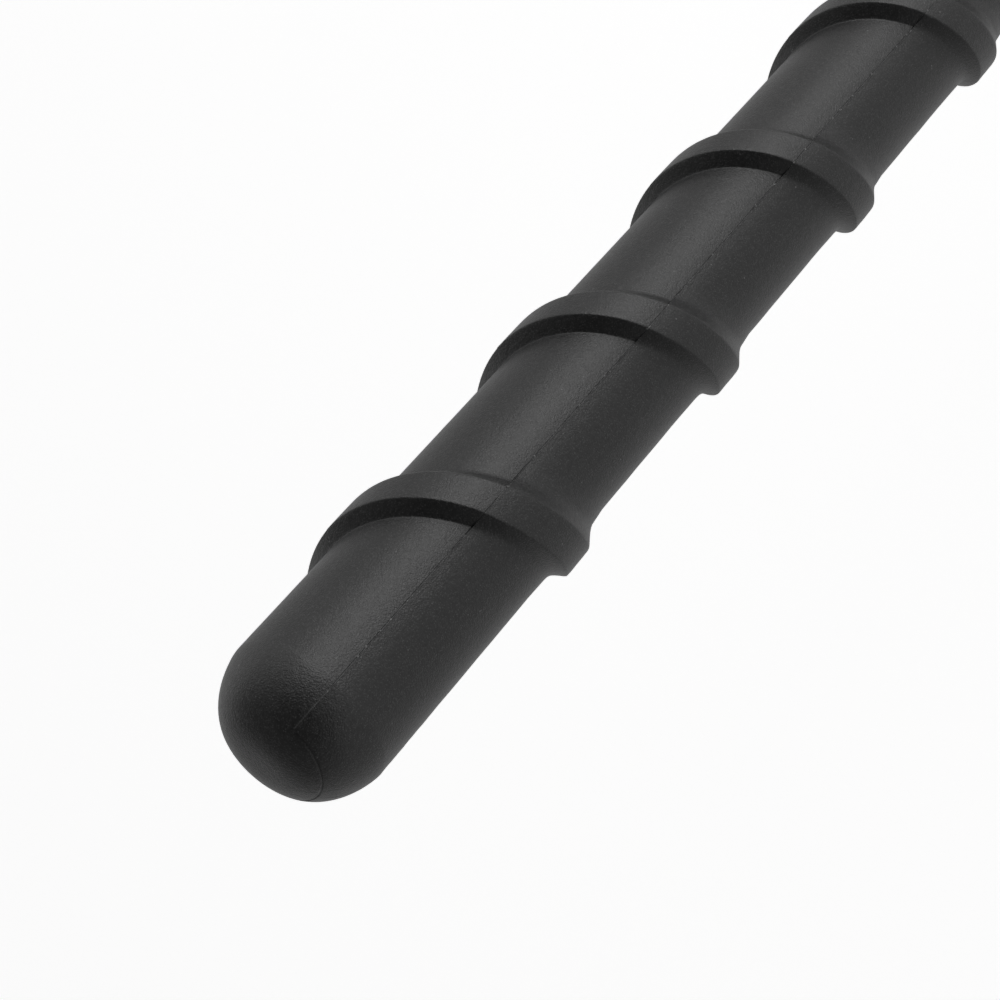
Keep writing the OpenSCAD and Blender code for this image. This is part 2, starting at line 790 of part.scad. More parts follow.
roof_nut_z = claw_plate_z - claw_plate_t - roof_nut_h;
flange_h = 1.5;
module roof_nut() {
    color("#b9bcc0")
        translate([0, 0, roof_nut_z])
            difference() {
                union() {
                    cylinder(d = roof_nut_af / cos(30), h = roof_nut_h, $fn = 6);
                    translate([0, 0, roof_nut_h - flange_h])
                        cylinder(d = claw_d - 2, h = flange_h);
                }
                translate([0, 0, -over])
                    cylinder(r = neck_d / 2 + slip_fit, h = roof_nut_h + 2 * over);
            }
}

grommet_lip = 1.5;
module cable_grommet() {
    color("#1c1c1d")
        translate([0, 0, -neck_len - grommet_lip])
            difference() {
                union() {
                    cylinder(d = neck_d - 3, h = grommet_lip - slip_fit);
                    cylinder(r = neck_bore_d / 2 - slip_fit, h = grommet_lip + grommet_len);
                }
                translate([0, 0, -over])
                    cylinder(d = cable_d, h = grommet_lip + grommet_len + 2 * over);
            }
}

board_z = floor_z + post_h;
board_top_z = board_z + board_t;
module amplifier_board() {
    color("#1f5b3a")
        difference() {
            translate([board_front, -board_w / 2, board_z])
                cube([board_len, board_w, board_t]);
            for (p = post_places)
                translate([p[0], p[1], board_z - over])
                    cylinder(d = board_screw_d + 2 * slip_fit, h = board_t + 2 * over);
        }
}

module board_screws() {
    color("#b9bcc0")
        for (p = post_places)
            translate([p[0], p[1], board_top_z])
                pan_screw(board_screw_d, board_screw_len - slip_fit, board_head_d, board_head_h);
}

can_x = board_front + board_len / 3;
can_wall = 0.3;
module shield_can() {
    color("#c4c6c8")
        translate([can_x, -can_w / 2, board_top_z])
            difference() {
                cube([can_len, can_w, can_h]);
                translate([can_wall, can_wall, -over])
                    cube([can_len - 2 * can_wall, can_w - 2 * can_wall, can_h - can_wall + over]);
            }
}

// Parts outside the can: a choke at the rear and two chips beside the front post
module board_parts() {
    color("#2e2e30") {
        translate([board_front + 1.2, -1.5 - spring_w / 2, board_top_z])
            cube([3.2, 2.4, 1.6]);
        for (side = [-1, 1])
            translate([board_front + board_len - 4, side * board_w / 3 - 1, board_top_z])
                cube([2.4, 2, 0.9]);
    }
}

// Contact spring: a bent strip from the board to the hub, beside the stop lug
spring_y = 1.2;
spring_foot = 3.2;
spring_x = board_front + 0.4;
hub_front_x = pivot_x + hub_d / 2;
spring_tip_z = pivot_z + 0.6;
module contact_spring() {
    inner = [
        [spring_x + spring_foot, board_top_z],
        [spring_x, board_top_z],
        [hub_front_x + free_gap, spring_tip_z],
        [hub_front_x + free_gap + 1, spring_tip_z + 2]
    ];
    outer = [
        [hub_front_x + free_gap + 1 + spring_t, spring_tip_z + 2],
        [hub_front_x + free_gap + 1.2 * spring_t, spring_tip_z],
        [spring_x, board_top_z + spring_t],
        [spring_x + spring_foot, board_top_z + spring_t]
    ];
    color("#c59a4a")
        across_y(spring_y, spring_y + spring_w)
            polygon(concat(inner, outer));
}

mast_jacket();
core_rod();
radiator_wire();
winding_sleeve();
mast_ferrule();
seat_gasket();
knuckle();
friction_washer_left();
friction_washer_right();
pivot_screw();
pivot_nut();
hinge_bracket();
bracket_screws();
base_plate();
foot_cover();
cover_screws();
roof_seal();
claw_washer();
roof_nut();
cable_grommet();
amplifier_board();
board_screws();
shield_can();
board_parts();
contact_spring();
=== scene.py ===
# %% [markdown]
# A roof antenna is a rubber mast that screws into a knuckle, which folds down on the foot.
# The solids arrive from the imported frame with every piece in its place, in metres.
# This script gives them their looks: a finer rubber jacket, a smooth cover, threads and materials.

# %% Load the frame
import json
import math

import bmesh
import bpy
import numpy as np
from mathutils import Matrix, Vector


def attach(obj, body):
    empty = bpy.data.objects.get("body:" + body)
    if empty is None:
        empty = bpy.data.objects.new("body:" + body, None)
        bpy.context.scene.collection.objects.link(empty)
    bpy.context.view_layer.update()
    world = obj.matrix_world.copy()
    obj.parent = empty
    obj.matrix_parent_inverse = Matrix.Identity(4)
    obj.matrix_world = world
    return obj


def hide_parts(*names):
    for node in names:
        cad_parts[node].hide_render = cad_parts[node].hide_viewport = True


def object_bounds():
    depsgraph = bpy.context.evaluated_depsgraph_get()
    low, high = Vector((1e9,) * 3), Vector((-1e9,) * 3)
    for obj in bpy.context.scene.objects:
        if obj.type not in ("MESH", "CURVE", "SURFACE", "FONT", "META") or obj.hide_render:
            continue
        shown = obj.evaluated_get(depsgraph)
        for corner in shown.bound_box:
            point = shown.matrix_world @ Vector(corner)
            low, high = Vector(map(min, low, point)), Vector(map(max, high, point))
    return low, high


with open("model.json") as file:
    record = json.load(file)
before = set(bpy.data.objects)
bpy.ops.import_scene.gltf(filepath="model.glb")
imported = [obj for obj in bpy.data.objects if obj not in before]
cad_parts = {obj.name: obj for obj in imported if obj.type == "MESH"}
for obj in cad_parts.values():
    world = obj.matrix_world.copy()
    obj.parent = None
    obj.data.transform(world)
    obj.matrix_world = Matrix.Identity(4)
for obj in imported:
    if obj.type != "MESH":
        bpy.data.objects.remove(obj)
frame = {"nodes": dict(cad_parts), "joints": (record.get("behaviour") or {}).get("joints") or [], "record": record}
cad_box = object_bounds()
nodes = frame["nodes"]
MM = 0.001

# %% [markdown]
# The mast's own axes come from the joints, so nothing here has to be fitted.
# The turning joint gives the direction from the pivot to the tip, and its place is the pivot.
# Two more directions square to it, front and side, let a shape be written as on a lathe.

# %% The mast's axes
joints = {j["name"]: j for j in frame["joints"]}
pivot = np.array(joints["mast_turn"]["pos_m"])
along = np.array(joints["mast_turn"]["axis"])
along /= np.linalg.norm(along)
side = np.array([0.0, 1.0, 0.0])
front = np.cross(side, along)
print("mast leans back", round(math.degrees(math.acos(along[2])), 2), "degrees")

# %% [markdown]
# Sizes of the jacket, as in the solid that it stands for. The collar's top face is where it begins.

# %% Sizes of the jacket
COLLAR_TOP = 20.55 * MM
MAST_LEN = 180 * MM
TIP_R = 4.5 * MM
WAIST_R = 3.6 * MM
BOOT_R = 5.6 * MM
BOOT_H = 5 * MM
FLARE_LEN = 20 * MM
DOME_LEN = 3.7 * MM
DOME_TURN = 1.55
DOME_FLAT = 3.1
RIB_PITCH = 14.5 * MM
RIB_H = 0.8 * MM
RIB_LAND = 1.95 * MM
RIB_FLANK = 0.6 * MM
RIB_START = 8.2 * MM
RIB_START_ANGLE = 153.0
SEAM_ANGLE = -45.0
INSERT_R = 3.06 * MM
INSERT_OFF = np.array([0.27, 0.15]) * MM
FLARE_TOP = BOOT_H + FLARE_LEN
DOME_Z = MAST_LEN - DOME_LEN
JACKET_SEAT = pivot + along * COLLAR_TOP
TIP = JACKET_SEAT + along * MAST_LEN
print("tip at", np.round(TIP / MM, 2), "mm")


# %% [markdown]
# Every new mesh here is made from whole arrays of points and corners.
# A helper takes both, links the object and shades it smooth, with sharp edges left where faces
# meet at more than a given angle.

# %% Helpers that make meshes
def add_mesh(name, points, faces, sharp_deg=40.0):
    """An object at the origin whose mesh has these points, in metres, and these faces."""
    mesh = bpy.data.meshes.new(name)
    mesh.from_pydata(np.asarray(points).tolist(), [], [list(map(int, f)) for f in faces])
    mesh.validate()
    mesh.polygons.foreach_set("use_smooth", np.ones(len(mesh.polygons), bool))
    mesh.set_sharp_from_angle(angle=math.radians(sharp_deg))
    piece = bpy.data.objects.new(name, mesh)
    bpy.context.scene.collection.objects.link(piece)
    return piece


def on_mast(radius, angle, height):
    """Points at a radius, an angle in degrees from the front, and a height above the collar."""
    a = np.radians(angle)
    across = np.cos(a)[..., None] * front + np.sin(a)[..., None] * side
    return JACKET_SEAT + radius[..., None] * across + height[..., None] * along


def grid_faces(rows, cols, first=0):
    """Corners of the squares between rows of points, where each row closes on itself."""
    r = np.arange(rows - 1)[:, None]
    c = np.arange(cols)[None, :]
    d = (c + 1) % cols
    quads = [r * cols + c, r * cols + d, (r + 1) * cols + d, (r + 1) * cols + c]
    return first + np.stack(np.broadcast_arrays(*quads), -1).reshape(-1, 4)


# %% [markdown]
# Camera. In the photograph the mast comes in from the upper right and its tip is near the middle.
# A fit of the jacket's outline and of the rib's pitch gave the lens, the pixel and the distance of
# a point just below the tip, the angle between mast and line of sight, and the mast's slope.
# The line of sight then follows, and the parting line that faces the camera sets the roll round
# the mast. A lens in mm is the focal length in pixels times 36 mm over the picture's 1000 pixels.

# %% Camera at the photograph's viewing angle
PICTURE_PX = 1000
SENSOR_MM = 36
FOCAL_PX = 2599.7
AIM_BELOW_TIP = 0.41 * MM
AIM_PX = np.array([266.2, 760.3])
AIM_DEPTH = 121.6 * MM
SIGHT_ANGLE = 1.042
PICTURE_SLOPE = 0.8483
seam_turn = math.radians(SEAM_ANGLE)
seam_front = math.cos(seam_turn) * front + math.sin(seam_turn) * side
down_mast = -along
seam_across = np.cross(seam_front, down_mast)


def mast_frame_in_camera():
    """Down the mast, towards the facing seam, and across, each as right, down and away."""
    run = math.sin(SIGHT_ANGLE)
    right, up = run * math.cos(PICTURE_SLOPE), run * math.sin(PICTURE_SLOPE)
    d = np.array([right, -up, math.cos(SIGHT_ANGLE)])
    n = np.array([0.0, 0.0, -1.0]) + d * d[2]
    n /= np.linalg.norm(n)
    return np.stack([d, n, np.cross(n, d)], 1)


to_row = np.stack([down_mast, seam_front, seam_across], 1) @ mast_frame_in_camera().T
aim_seen = np.append((AIM_PX - PICTURE_PX / 2) / FOCAL_PX, 1) * AIM_DEPTH
camera_at = TIP - along * AIM_BELOW_TIP - to_row @ aim_seen
turn = to_row @ np.diag([1.0, -1.0, -1.0])
lens_cam = bpy.data.cameras.new("camera")
lens_cam.sensor_width = SENSOR_MM
lens_cam.lens = FOCAL_PX * SENSOR_MM / PICTURE_PX
lens_cam.clip_start, lens_cam.clip_end = 0.005, 20
camera = bpy.data.objects.new("camera", lens_cam)
camera.matrix_world = Matrix.Translation(camera_at) @ Matrix(turn.tolist()).to_4x4()
bpy.context.scene.collection.objects.link(camera)
bpy.context.scene.camera = camera
print("lens", round(lens_cam.lens, 1), "mm, camera at", np.round(camera_at, 3))
print("looking along", np.round(to_row[:, 2], 3))

# %% [markdown]
# The world, the floor and the finishes are node trees. Two helpers set a socket to a value or to
# another node's output, and add a Math node.

# %% Helpers for node trees
def feed(tree, target, value):
    """Sets a socket to a plain value, or links a node's output to it."""
    if isinstance(value, bpy.types.NodeSocket):
        tree.links.new(value, target)
    else:
        target.default_value = value


def math_node(tree, operation, *values):
    """A Math node with these values or outputs on its sockets."""
    node = tree.nodes.new("ShaderNodeMath")
    node.operation = operation
    for target, value in zip(node.inputs, values):
        feed(tree, target, value)
    return node.outputs[0]


# %% [markdown]
# Light. The lit band on the mast faces the vehicle's front at the tip's height, so the key light
# is a large soft panel there. White surroundings give the pale rims at both edges of the mast.
# The world is white to the camera, and dimmer as a source of light than in reflections. Two
# round patches of it are darker, above the tip and round the camera, because the mast is dark in
# the photograph where it would reflect those.

# %% Lamps and world
def soft_panel(name, place, aim, size, watts):
    """A square lamp that faces a point."""
    lamp = bpy.data.lights.new(name, "AREA")
    lamp.shape, lamp.size, lamp.energy = "SQUARE", size, watts
    thing = bpy.data.objects.new(name, lamp)
    facing = (Vector(aim) - Vector(place)).to_track_quat("-Z", "Y").to_matrix().to_4x4()
    thing.matrix_world = Matrix.Translation(Vector(place)) @ facing
    bpy.context.scene.collection.objects.link(thing)


KEY_AT = TIP + np.array([0.55, -0.15, 0.0])
soft_panel("key_panel", KEY_AT, TIP, 0.36, 1.2)

SURROUND = 0.85
world = bpy.data.worlds.new("studio")
bpy.context.scene.world = world
world.use_nodes = True
sky = world.node_tree
backdrop = sky.nodes["Background"]
backdrop.inputs["Color"].default_value = (1, 1, 1, 1)
ray_kind = sky.nodes.new("ShaderNodeLightPath").outputs
sky_place = sky.nodes.new("ShaderNodeTexCoord").outputs["Generated"]


def dim_patch(axis, edge, core, low):
    """A round patch of the surroundings that falls from 1 to low.

    It starts to fall where the cosine from its axis is edge, and is low where that is core."""
    height = sky.nodes.new("ShaderNodeVectorMath")
    height.operation = "DOT_PRODUCT"
    height.inputs[1].default_value = Vector(axis).normalized()
    sky.links.new(sky_place, height.inputs[0])
    fall = sky.nodes.new("ShaderNodeMapRange")
    fall.interpolation_type = "SMOOTHSTEP"
    for key, number in (("From Min", edge), ("From Max", core), ("To Min", 1.0), ("To Max", low)):
        fall.inputs[key].default_value = number
    sky.links.new(height.outputs["Value"], fall.inputs["Value"])
    return fall.outputs["Result"]


above_tip = dim_patch((-0.42, 0.0, 0.86), 0.15, 0.55, 0.25)
round_camera = dim_patch((0.2, -0.54, 0.82), 0.72, 0.93, 0.12)
light = math_node(sky, "MULTIPLY", above_tip, round_camera)
brighter = math_node(sky, "MULTIPLY", ray_kind["Is Glossy Ray"], 1.0 - SURROUND)
light = math_node(sky, "MULTIPLY", light, math_node(sky, "ADD", brighter, SURROUND))
seen = math_node(sky, "MAXIMUM", ray_kind["Is Camera Ray"], ray_kind["Is Transmission Ray"])
sky.links.new(math_node(sky, "MAXIMUM", light, seen), backdrop.inputs["Strength"])
bpy.context.scene.view_settings.view_transform = "Standard"
print("key panel at", np.round(KEY_AT, 3), "m, surroundings at", SURROUND)

# %% [markdown]
# Floor. The part is made to be held by a roof, so the floor lies at its lowest point, the grommet.
# It is a plain pale sheet. Camera rays get a little more white from it, which keeps its shadow.

# %% Floor
FLOOR_Z = cad_box[0][2] - 0.2 * MM
floor_mesh = bpy.data.meshes.new("floor")
reach = 6.0
corners = [(-reach, -reach), (reach, -reach), (reach, reach), (-reach, reach)]
floor_mesh.from_pydata([(x, y, FLOOR_Z) for x, y in corners], [], [(0, 1, 2, 3)])
floor = bpy.data.objects.new("floor", floor_mesh)
bpy.context.scene.collection.objects.link(floor)
floor_skin = bpy.data.materials.new("floor")
floor_skin.use_nodes = True
paint = floor_skin.node_tree
sheet = paint.nodes["Principled BSDF"]
sheet.inputs["Base Color"].default_value = (0.82, 0.82, 0.82, 1)
sheet.inputs["Roughness"].default_value = 0.9
sheet.inputs["Emission Color"].default_value = (1, 1, 1, 1)
floor_rays = paint.nodes.new("ShaderNodeLightPath").outputs
glow = 0.0
for ray, share in (("Is Camera Ray", 0.7), ("Is Transmission Ray", 0.7), ("Is Glossy Ray", 0.32)):
    glow = math_node(paint, "MAXIMUM", glow, math_node(paint, "MULTIPLY", floor_rays[ray], share))
paint.links.new(glow, sheet.inputs["Emission Strength"])
floor_mesh.materials.append(floor_skin)
print("floor at", round(FLOOR_Z / MM, 2), "mm")

# %% [markdown]
# Finishes. Each one is built from noises in millimetres on the part's own coordinates, so nothing
# slides when the view or the pose changes. A small class keeps a finish down to a few lines:
# one line for each noise, and one for what it drives.

# %% A builder for finishes
class Finish:
    """A Principled material, with short names for the few kinds of node that the finishes use."""

    def __init__(self, name, color, roughness, metallic=0.0, **sockets):
        self.mat = bpy.data.materials.new(name)
        self.mat.use_nodes = True
        self.tree = self.mat.node_tree
        self.links = self.tree.links
        self.shader = self.tree.nodes["Principled BSDF"]
        self.set("Base Color", (*color, 1))
        self.set("Roughness", roughness)
        self.set("Metallic", metallic)
        for key, value in sockets.items():
            self.set(key.replace("_", " "), value)
        self.place = self.make("TexCoord").outputs["Object"]
        self.normal = None

    def make(self, kind, **settings):
        """A new node of this kind, with these settings."""
        node = self.tree.nodes.new("ShaderNode" + kind)
        for key, value in settings.items():
            setattr(node, key, value)
        return node

    def set(self, socket, value):
        """A plain value, or a link from a node's output, on one of the shader's sockets."""
        feed(self.tree, self.shader.inputs[socket], value)

    def math(self, operation, *values):
        """A Math node with these values or outputs on its sockets."""
        return math_node(self.tree, operation, *values)

    def inverse(self, value):
        """1 minus a value."""
        return self.math("SUBTRACT", 1.0, value)

    def length(self, x, y):
        """Length of the arrow (x, y)."""
        return self.math("SQRT", self.math("ADD", self.times(x, x), self.times(y, y)))

    def times(self, first, *others):
        """The product of all of these."""
        for other in others:
            first = self.math("MULTIPLY", first, other)
        return first

    def noise(self, size_mm, detail=2.0, roughness=0.5, stretch=None):
        """Soft noise with grains about size_mm across, longer along an axis that is stretched."""
        node = self.make("TexNoise")
        node.inputs["Scale"].default_value = 1000 / size_mm
        node.inputs["Detail"].default_value = detail
        node.inputs["Roughness"].default_value = roughness
        self.links.new(self.stretched(stretch) if stretch else self.place, node.inputs["Vector"])
        return node.outputs["Fac"]

    def stretched(self, stretch):
        """The part's coordinates, scaled so that noise on them comes out longer."""
        node = self.make("Mapping")
        node.inputs["Scale"].default_value = [1 / v for v in stretch]
        self.links.new(self.place, node.inputs["Vector"])
        return node.outputs["Vector"]

    def cells(self, size_mm, feature="F1", output="Distance"):
        """Cells about size_mm apart."""
        node = self.make("TexVoronoi", feature=feature)
        node.inputs["Scale"].default_value = 1000 / size_mm
        self.links.new(self.place, node.inputs["Vector"])
        return node.outputs[output]

    def span(self, value, low, high, to_low=0.0, to_high=1.0):
        """Stretches low..high of a value to another range, and holds it there."""
        node = self.make("MapRange", clamp=True)
        ends = {"From Min": low, "From Max": high, "To Min": to_low, "To Max": to_high}
        for key, number in ends.items():
            node.inputs[key].default_value = number
        self.links.new(value, node.inputs["Value"])
        return node.outputs["Result"]

    def blend(self, share, a, b):
        """A colour between a and b."""
        node = self.make("Mix", data_type="RGBA")
        feed(self.tree, node.inputs["Factor"], share)
        for target, value in ((node.inputs["A"], a), (node.inputs["B"], b)):
            feed(self.tree, target, (*value, 1) if isinstance(value, tuple) else value)
        return node.outputs["Result"]

    def bump(self, height, depth_mm, strength=1.0):
        """Relief of depth_mm from a height of 0 to 1, on top of any earlier relief."""
        node = self.make("Bump")
        node.inputs["Strength"].default_value = strength
        node.inputs["Distance"].default_value = depth_mm * MM
        self.links.new(height, node.inputs["Height"])
        if self.normal:
            self.links.new(self.normal, node.inputs["Normal"])
        self.normal = node.outputs["Normal"]
        self.set("Normal", self.normal)

    def dot(self, direction, origin=(0, 0, 0)):
        """Distance along a direction from an origin, in metres."""
        node = self.make("VectorMath", operation="DOT_PRODUCT")
        node.inputs[1].default_value = direction
        self.links.new(self.place, node.inputs[0])
        return self.math("SUBTRACT", node.outputs["Value"], float(np.dot(direction, origin)))


def grey(level):
    """A neutral colour."""
    return (level, level, level)


# %% [markdown]
# Mast rubber. In the photograph it is a neutral near-black with a fine matt grain, as a
# spark-eroded mould leaves, with a scatter of lighter specks, cloudy patches of bloom and darker
# parting lines. The lines are the two planes through the mast's axis that part the four jaws of
# the tool, and the circle that its end insert leaves on the dome.

# %% Mast rubber
def mast_rubber():
    """Near-black rubber. n and m are distances from the two planes in which the tool parts."""
    f = Finish("mast_rubber", grey(0.010), 0.45, Specular_IOR_Level=0.5)
    bloom = f.span(f.noise(6, 3), 0.35, 0.7)
    dot = f.span(f.cells(0.085), 0.55, 0.15)
    dot = f.times(dot, f.span(f.cells(0.085, output="Color"), 0.35, 0.8))
    mottle = f.noise(0.32, 2, 0.6)
    grain = f.noise(0.10, 3, 0.7)
    speck = f.span(f.cells(0.34), 0.17, 0.08)
    chosen = f.span(f.noise(0.7, 3, 0.6), 0.60, 0.66)

    n = f.dot(seam_front, JACKET_SEAT)
    m = f.dot(seam_across, JACKET_SEAT)
    on_dome = f.span(f.dot(along, JACKET_SEAT), DOME_Z, DOME_Z + 1 * MM)
    inner = f.times(f.span(f.length(n, m), 4.2 * MM, 3.9 * MM), on_dome)
    near = f.math("MINIMUM", f.math("ABSOLUTE", n), f.math("ABSOLUTE", m))
    wander = f.times(f.math("SUBTRACT", f.noise(0.5, 3), 0.5), 0.06 * MM)
    line = f.math("ABSOLUTE", f.math("ADD", near, wander))
    line = f.span(line, 0.010 * MM, 0.04 * MM, 1.0, 0.0)
    broken = f.span(f.noise(0.8, 4, 0.7), 0.40, 0.52, 0.35, 1.0)
    line = f.times(line, broken, f.inverse(inner))
    flash = f.span(f.noise(0.22, 3), 0.62, 0.67)
    flash = f.times(flash, f.span(near, 0.06 * MM, 0.035 * MM), f.inverse(inner))

    x, y = [f.math("SUBTRACT", value, float(off)) for value, off in zip((n, m), INSERT_OFF)]
    insert = f.length(x, y)
    circle = f.math("ABSOLUTE", f.math("SUBTRACT", insert, INSERT_R))
    circle = f.span(circle, 0.025 * MM, 0.06 * MM, 1.0, 0.0)
    # The insert's circle is a dark parting line in its own colour, but it is drawn only on the half where its
    # crease lies in shade: that one-sided darkening is painted shade.
    circle = f.times(circle, on_dome, f.span(m, 0.3 * MM, -0.3 * MM))
    # Painted highlight: a lighter line along the parting lines on the dome, outside the insert's circle, where the
    # seam's small ridge catches the light.
    dome_seam_highlight = f.times(f.span(near, 0.045 * MM, 0.02 * MM), on_dome)
    dome_seam_highlight = f.times(dome_seam_highlight, f.span(insert, INSERT_R, INSERT_R + 0.1 * MM))

    base = f.blend(bloom, grey(0.004), grey(0.0065))
    dark, pale = f.blend(0.5, base, grey(0.002)), f.blend(0.5, base, grey(0.012))
    base = f.blend(f.span(mottle, 0.38, 0.68), dark, pale)
    base = f.blend(dot, base, grey(0.045))
    base = f.blend(f.times(speck, chosen), base, grey(0.12))
    # Dark parting lines, and the insert's circle with its painted shade on one half.
    base = f.blend(f.math("MAXIMUM", line, circle), base, grey(0.0015))
    # The painted highlight on the dome's seams goes on here.
    base = f.blend(dome_seam_highlight, base, grey(0.035))
    f.set("Base Color", f.blend(flash, base, grey(0.16)))
    f.set("Roughness", f.span(grain, 0.25, 0.75, 0.36, 0.47))
    f.bump(mottle, 0.02)
    f.bump(grain, 0.018)
    f.bump(f.cells(0.085), 0.012)
    f.bump(f.inverse(f.times(line, 0.5)), 0.05)
    return f.mat


# %% [markdown]
# Other finishes. Each function makes one material that the record names, from how such a piece
# was cast, moulded, turned, drawn or plated, and from what handling leaves on it.

# %% Rubbers and plastics
def seal_rubber():
    """Soft moulded rubber: smoother than the mast, with a dusty bloom and a few lint specks."""
    f = Finish("seal_rubber", grey(0.02), 0.5, Specular_IOR_Level=0.4)
    bloom = f.span(f.noise(5, 4), 0.4, 0.75)
    lint = f.span(f.cells(1.3), 0.10, 0.03)
    base = f.blend(bloom, grey(0.016), grey(0.032))
    f.set("Base Color", f.blend(f.times(lint, 0.5), base, grey(0.16)))
    f.set("Roughness", f.span(f.noise(0.5, 3), 0.3, 0.7, 0.42, 0.6))
    f.bump(f.noise(0.25, 3), 0.012)
    return f.mat


def cover_plastic():
    """Black moulded cover with an etched grain: shallow cells, a little glossier on their tops."""
    f = Finish("cover_plastic", grey(0.022), 0.42, Specular_IOR_Level=0.45)
    cell = f.cells(0.42, "SMOOTH_F1")
    top = f.span(cell, 0.15, 0.5, 1.0, 0.0)
    cloud = f.span(f.noise(12, 3), 0.35, 0.7)
    scuff = f.span(f.noise(1.2, 4, 0.7, (9, 1, 1)), 0.66, 0.74)
    base = f.blend(cloud, grey(0.019), grey(0.026))
    base = f.blend(top, base, grey(0.034))
    f.set("Base Color", f.blend(f.times(scuff, 0.25), base, grey(0.09)))
    f.set("Roughness", f.span(top, 0.0, 1.0, 0.52, 0.36))
    f.bump(top, 0.02)
    f.bump(f.noise(0.12, 2), 0.006)
    return f.mat


def bracket_plastic():
    """Glass-filled nylon: dark grey, with short pale fibres that show at the surface."""
    f = Finish("bracket_plastic", grey(0.085), 0.5)
    flow = f.span(f.noise(6, 3, 0.5, (3, 1, 1)), 0.3, 0.7)
    fibre = f.span(f.noise(0.35, 2, 0.6, (7, 1, 1)), 0.62, 0.72)
    base = f.blend(flow, grey(0.070), grey(0.098))
    f.set("Base Color", f.blend(f.times(fibre, 0.5), base, grey(0.17)))
    f.set("Roughness", f.span(fibre, 0.0, 1.0, 0.5, 0.38))
    f.bump(f.noise(0.3, 3, 0.6, (3, 1, 1)), 0.02)
    return f.mat


def sleeve_plastic():
    """Thin shrunk tube: slightly wavy and shiny, where it has drawn down over the turns of wire."""
    f = Finish("sleeve_plastic", grey(0.05), 0.32)
    wave = f.span(f.noise(2.2, 3), 0.3, 0.7)
    f.set("Base Color", f.blend(wave, grey(0.042), grey(0.062)))
    f.set("Roughness", f.span(f.noise(0.6, 3), 0.3, 0.7, 0.26, 0.42))
    f.bump(wave, 0.06)
    return f.mat


def glass_fibre():
    """Drawn glass-fibre rod: straw-coloured, with fine threads along the mast."""
    f = Finish("glass_fibre", (0.62, 0.58, 0.42), 0.35, Specular_IOR_Level=0.55)
    thread = f.noise(0.12, 3, 0.6, (6, 6, 30))
    f.set("Base Color", f.blend(f.span(thread, 0.35, 0.65), (0.56, 0.51, 0.35), (0.70, 0.67, 0.52)))
    f.set("Roughness", f.span(thread, 0.3, 0.7, 0.28, 0.45))
    f.bump(thread, 0.02)
    return f.mat


# %% Castings and paint
def painted_zinc():
    """Powder coat on a die casting: fine orange peel, thin and slightly rubbed where it turns."""
    f = Finish("painted_zinc", grey(0.024), 0.4, Specular_IOR_Level=0.5)
    peel = f.noise(0.55, 2, 0.45)
    pin = f.span(f.cells(0.6), 0.09, 0.03)
    base = f.blend(f.span(f.noise(5, 3), 0.35, 0.7), grey(0.020), grey(0.029))
    f.set("Base Color", f.blend(f.times(pin, 0.6), base, grey(0.10)))
    f.set("Roughness", f.span(peel, 0.3, 0.7, 0.34, 0.46))
    f.bump(peel, 0.05)
    f.bump(f.noise(0.08, 2), 0.005)
    return f.mat


def cast_zinc():
    """Bare zinc die casting: dull blue-grey, cloudy flow marks, fine pits."""
    f = Finish("cast_zinc", (0.52, 0.53, 0.55), 0.45, metallic=1.0)
    flow = f.span(f.noise(4, 5, 0.6, (2.5, 1, 1)), 0.3, 0.72)
    pit = f.span(f.cells(0.7), 0.13, 0.06)
    base = f.blend(flow, (0.43, 0.44, 0.46), (0.60, 0.61, 0.62))
    f.set("Base Color", f.blend(f.times(pit, 0.6), base, (0.22, 0.22, 0.23)))
    f.set("Roughness", f.span(flow, 0.0, 1.0, 0.52, 0.36))
    f.bump(f.noise(0.4, 4), 0.03)
    f.bump(f.inverse(pit), 0.03)
    return f.mat


# %% Plated, turned and drawn metals
def plated(name, light, dark, rough=(0.18, 0.34), cloud_mm=1.5, stretch=None):
    """Plated metal: bright, with soft clouds, fine working marks and a few dull spots."""
    f = Finish(name, light, rough[0], metallic=1.0)
    cloud = f.span(f.noise(cloud_mm, 4), 0.35, 0.7)
    marks = f.noise(0.16, 3, 0.6, stretch)
    spot = f.span(f.noise(0.7, 3), 0.66, 0.74)
    base = f.blend(cloud, dark, light)
    f.set("Base Color", f.blend(f.times(spot, 0.35), base, tuple(0.6 * c for c in dark)))
    f.set("Roughness", f.span(marks, 0.3, 0.7, *rough))
    f.bump(marks, 0.006)
    return f.mat


def plated_steel():
    """Zinc plate, bright and faintly blue."""
    return plated("plated_steel", (0.68, 0.69, 0.70), (0.56, 0.57, 0.60))


def yellow_steel():
    """Yellow passivation is never one colour: it drifts from straw to a faint green and rose."""
    f = Finish("yellow_steel", (0.62, 0.53, 0.30), 0.3, metallic=1.0)
    drift = f.span(f.noise(3.0, 3), 0.35, 0.65)
    second = f.span(f.noise(4.4, 2), 0.45, 0.65)
    base = f.blend(drift, (0.62, 0.50, 0.24), (0.60, 0.58, 0.38))
    f.set("Base Color", f.blend(f.times(second, 0.5), base, (0.66, 0.46, 0.34)))
    f.set("Roughness", f.span(f.noise(0.3, 3), 0.3, 0.7, 0.24, 0.40))
    f.bump(f.noise(0.2, 3), 0.008)
    return f.mat


def nickel_brass():
    """Nickel plate over brass, which is smoother and a little warm."""
    return plated("nickel_brass", (0.68, 0.64, 0.56), (0.58, 0.54, 0.46), (0.14, 0.26), 2.0)


def spring_bronze():
    """Rolled bronze strip, with marks along it."""
    light, dark = (0.74, 0.47, 0.23), (0.60, 0.35, 0.16)
    return plated("spring_bronze", light, dark, (0.22, 0.36), 1.0, (6, 1, 1))


def tinned_steel():
    """Tinned sheet, duller, with marks across the part."""
    light, dark = (0.72, 0.72, 0.73), (0.62, 0.63, 0.65)
    return plated("tinned_steel", light, dark, (0.22, 0.42), 0.8, (1, 8, 1))


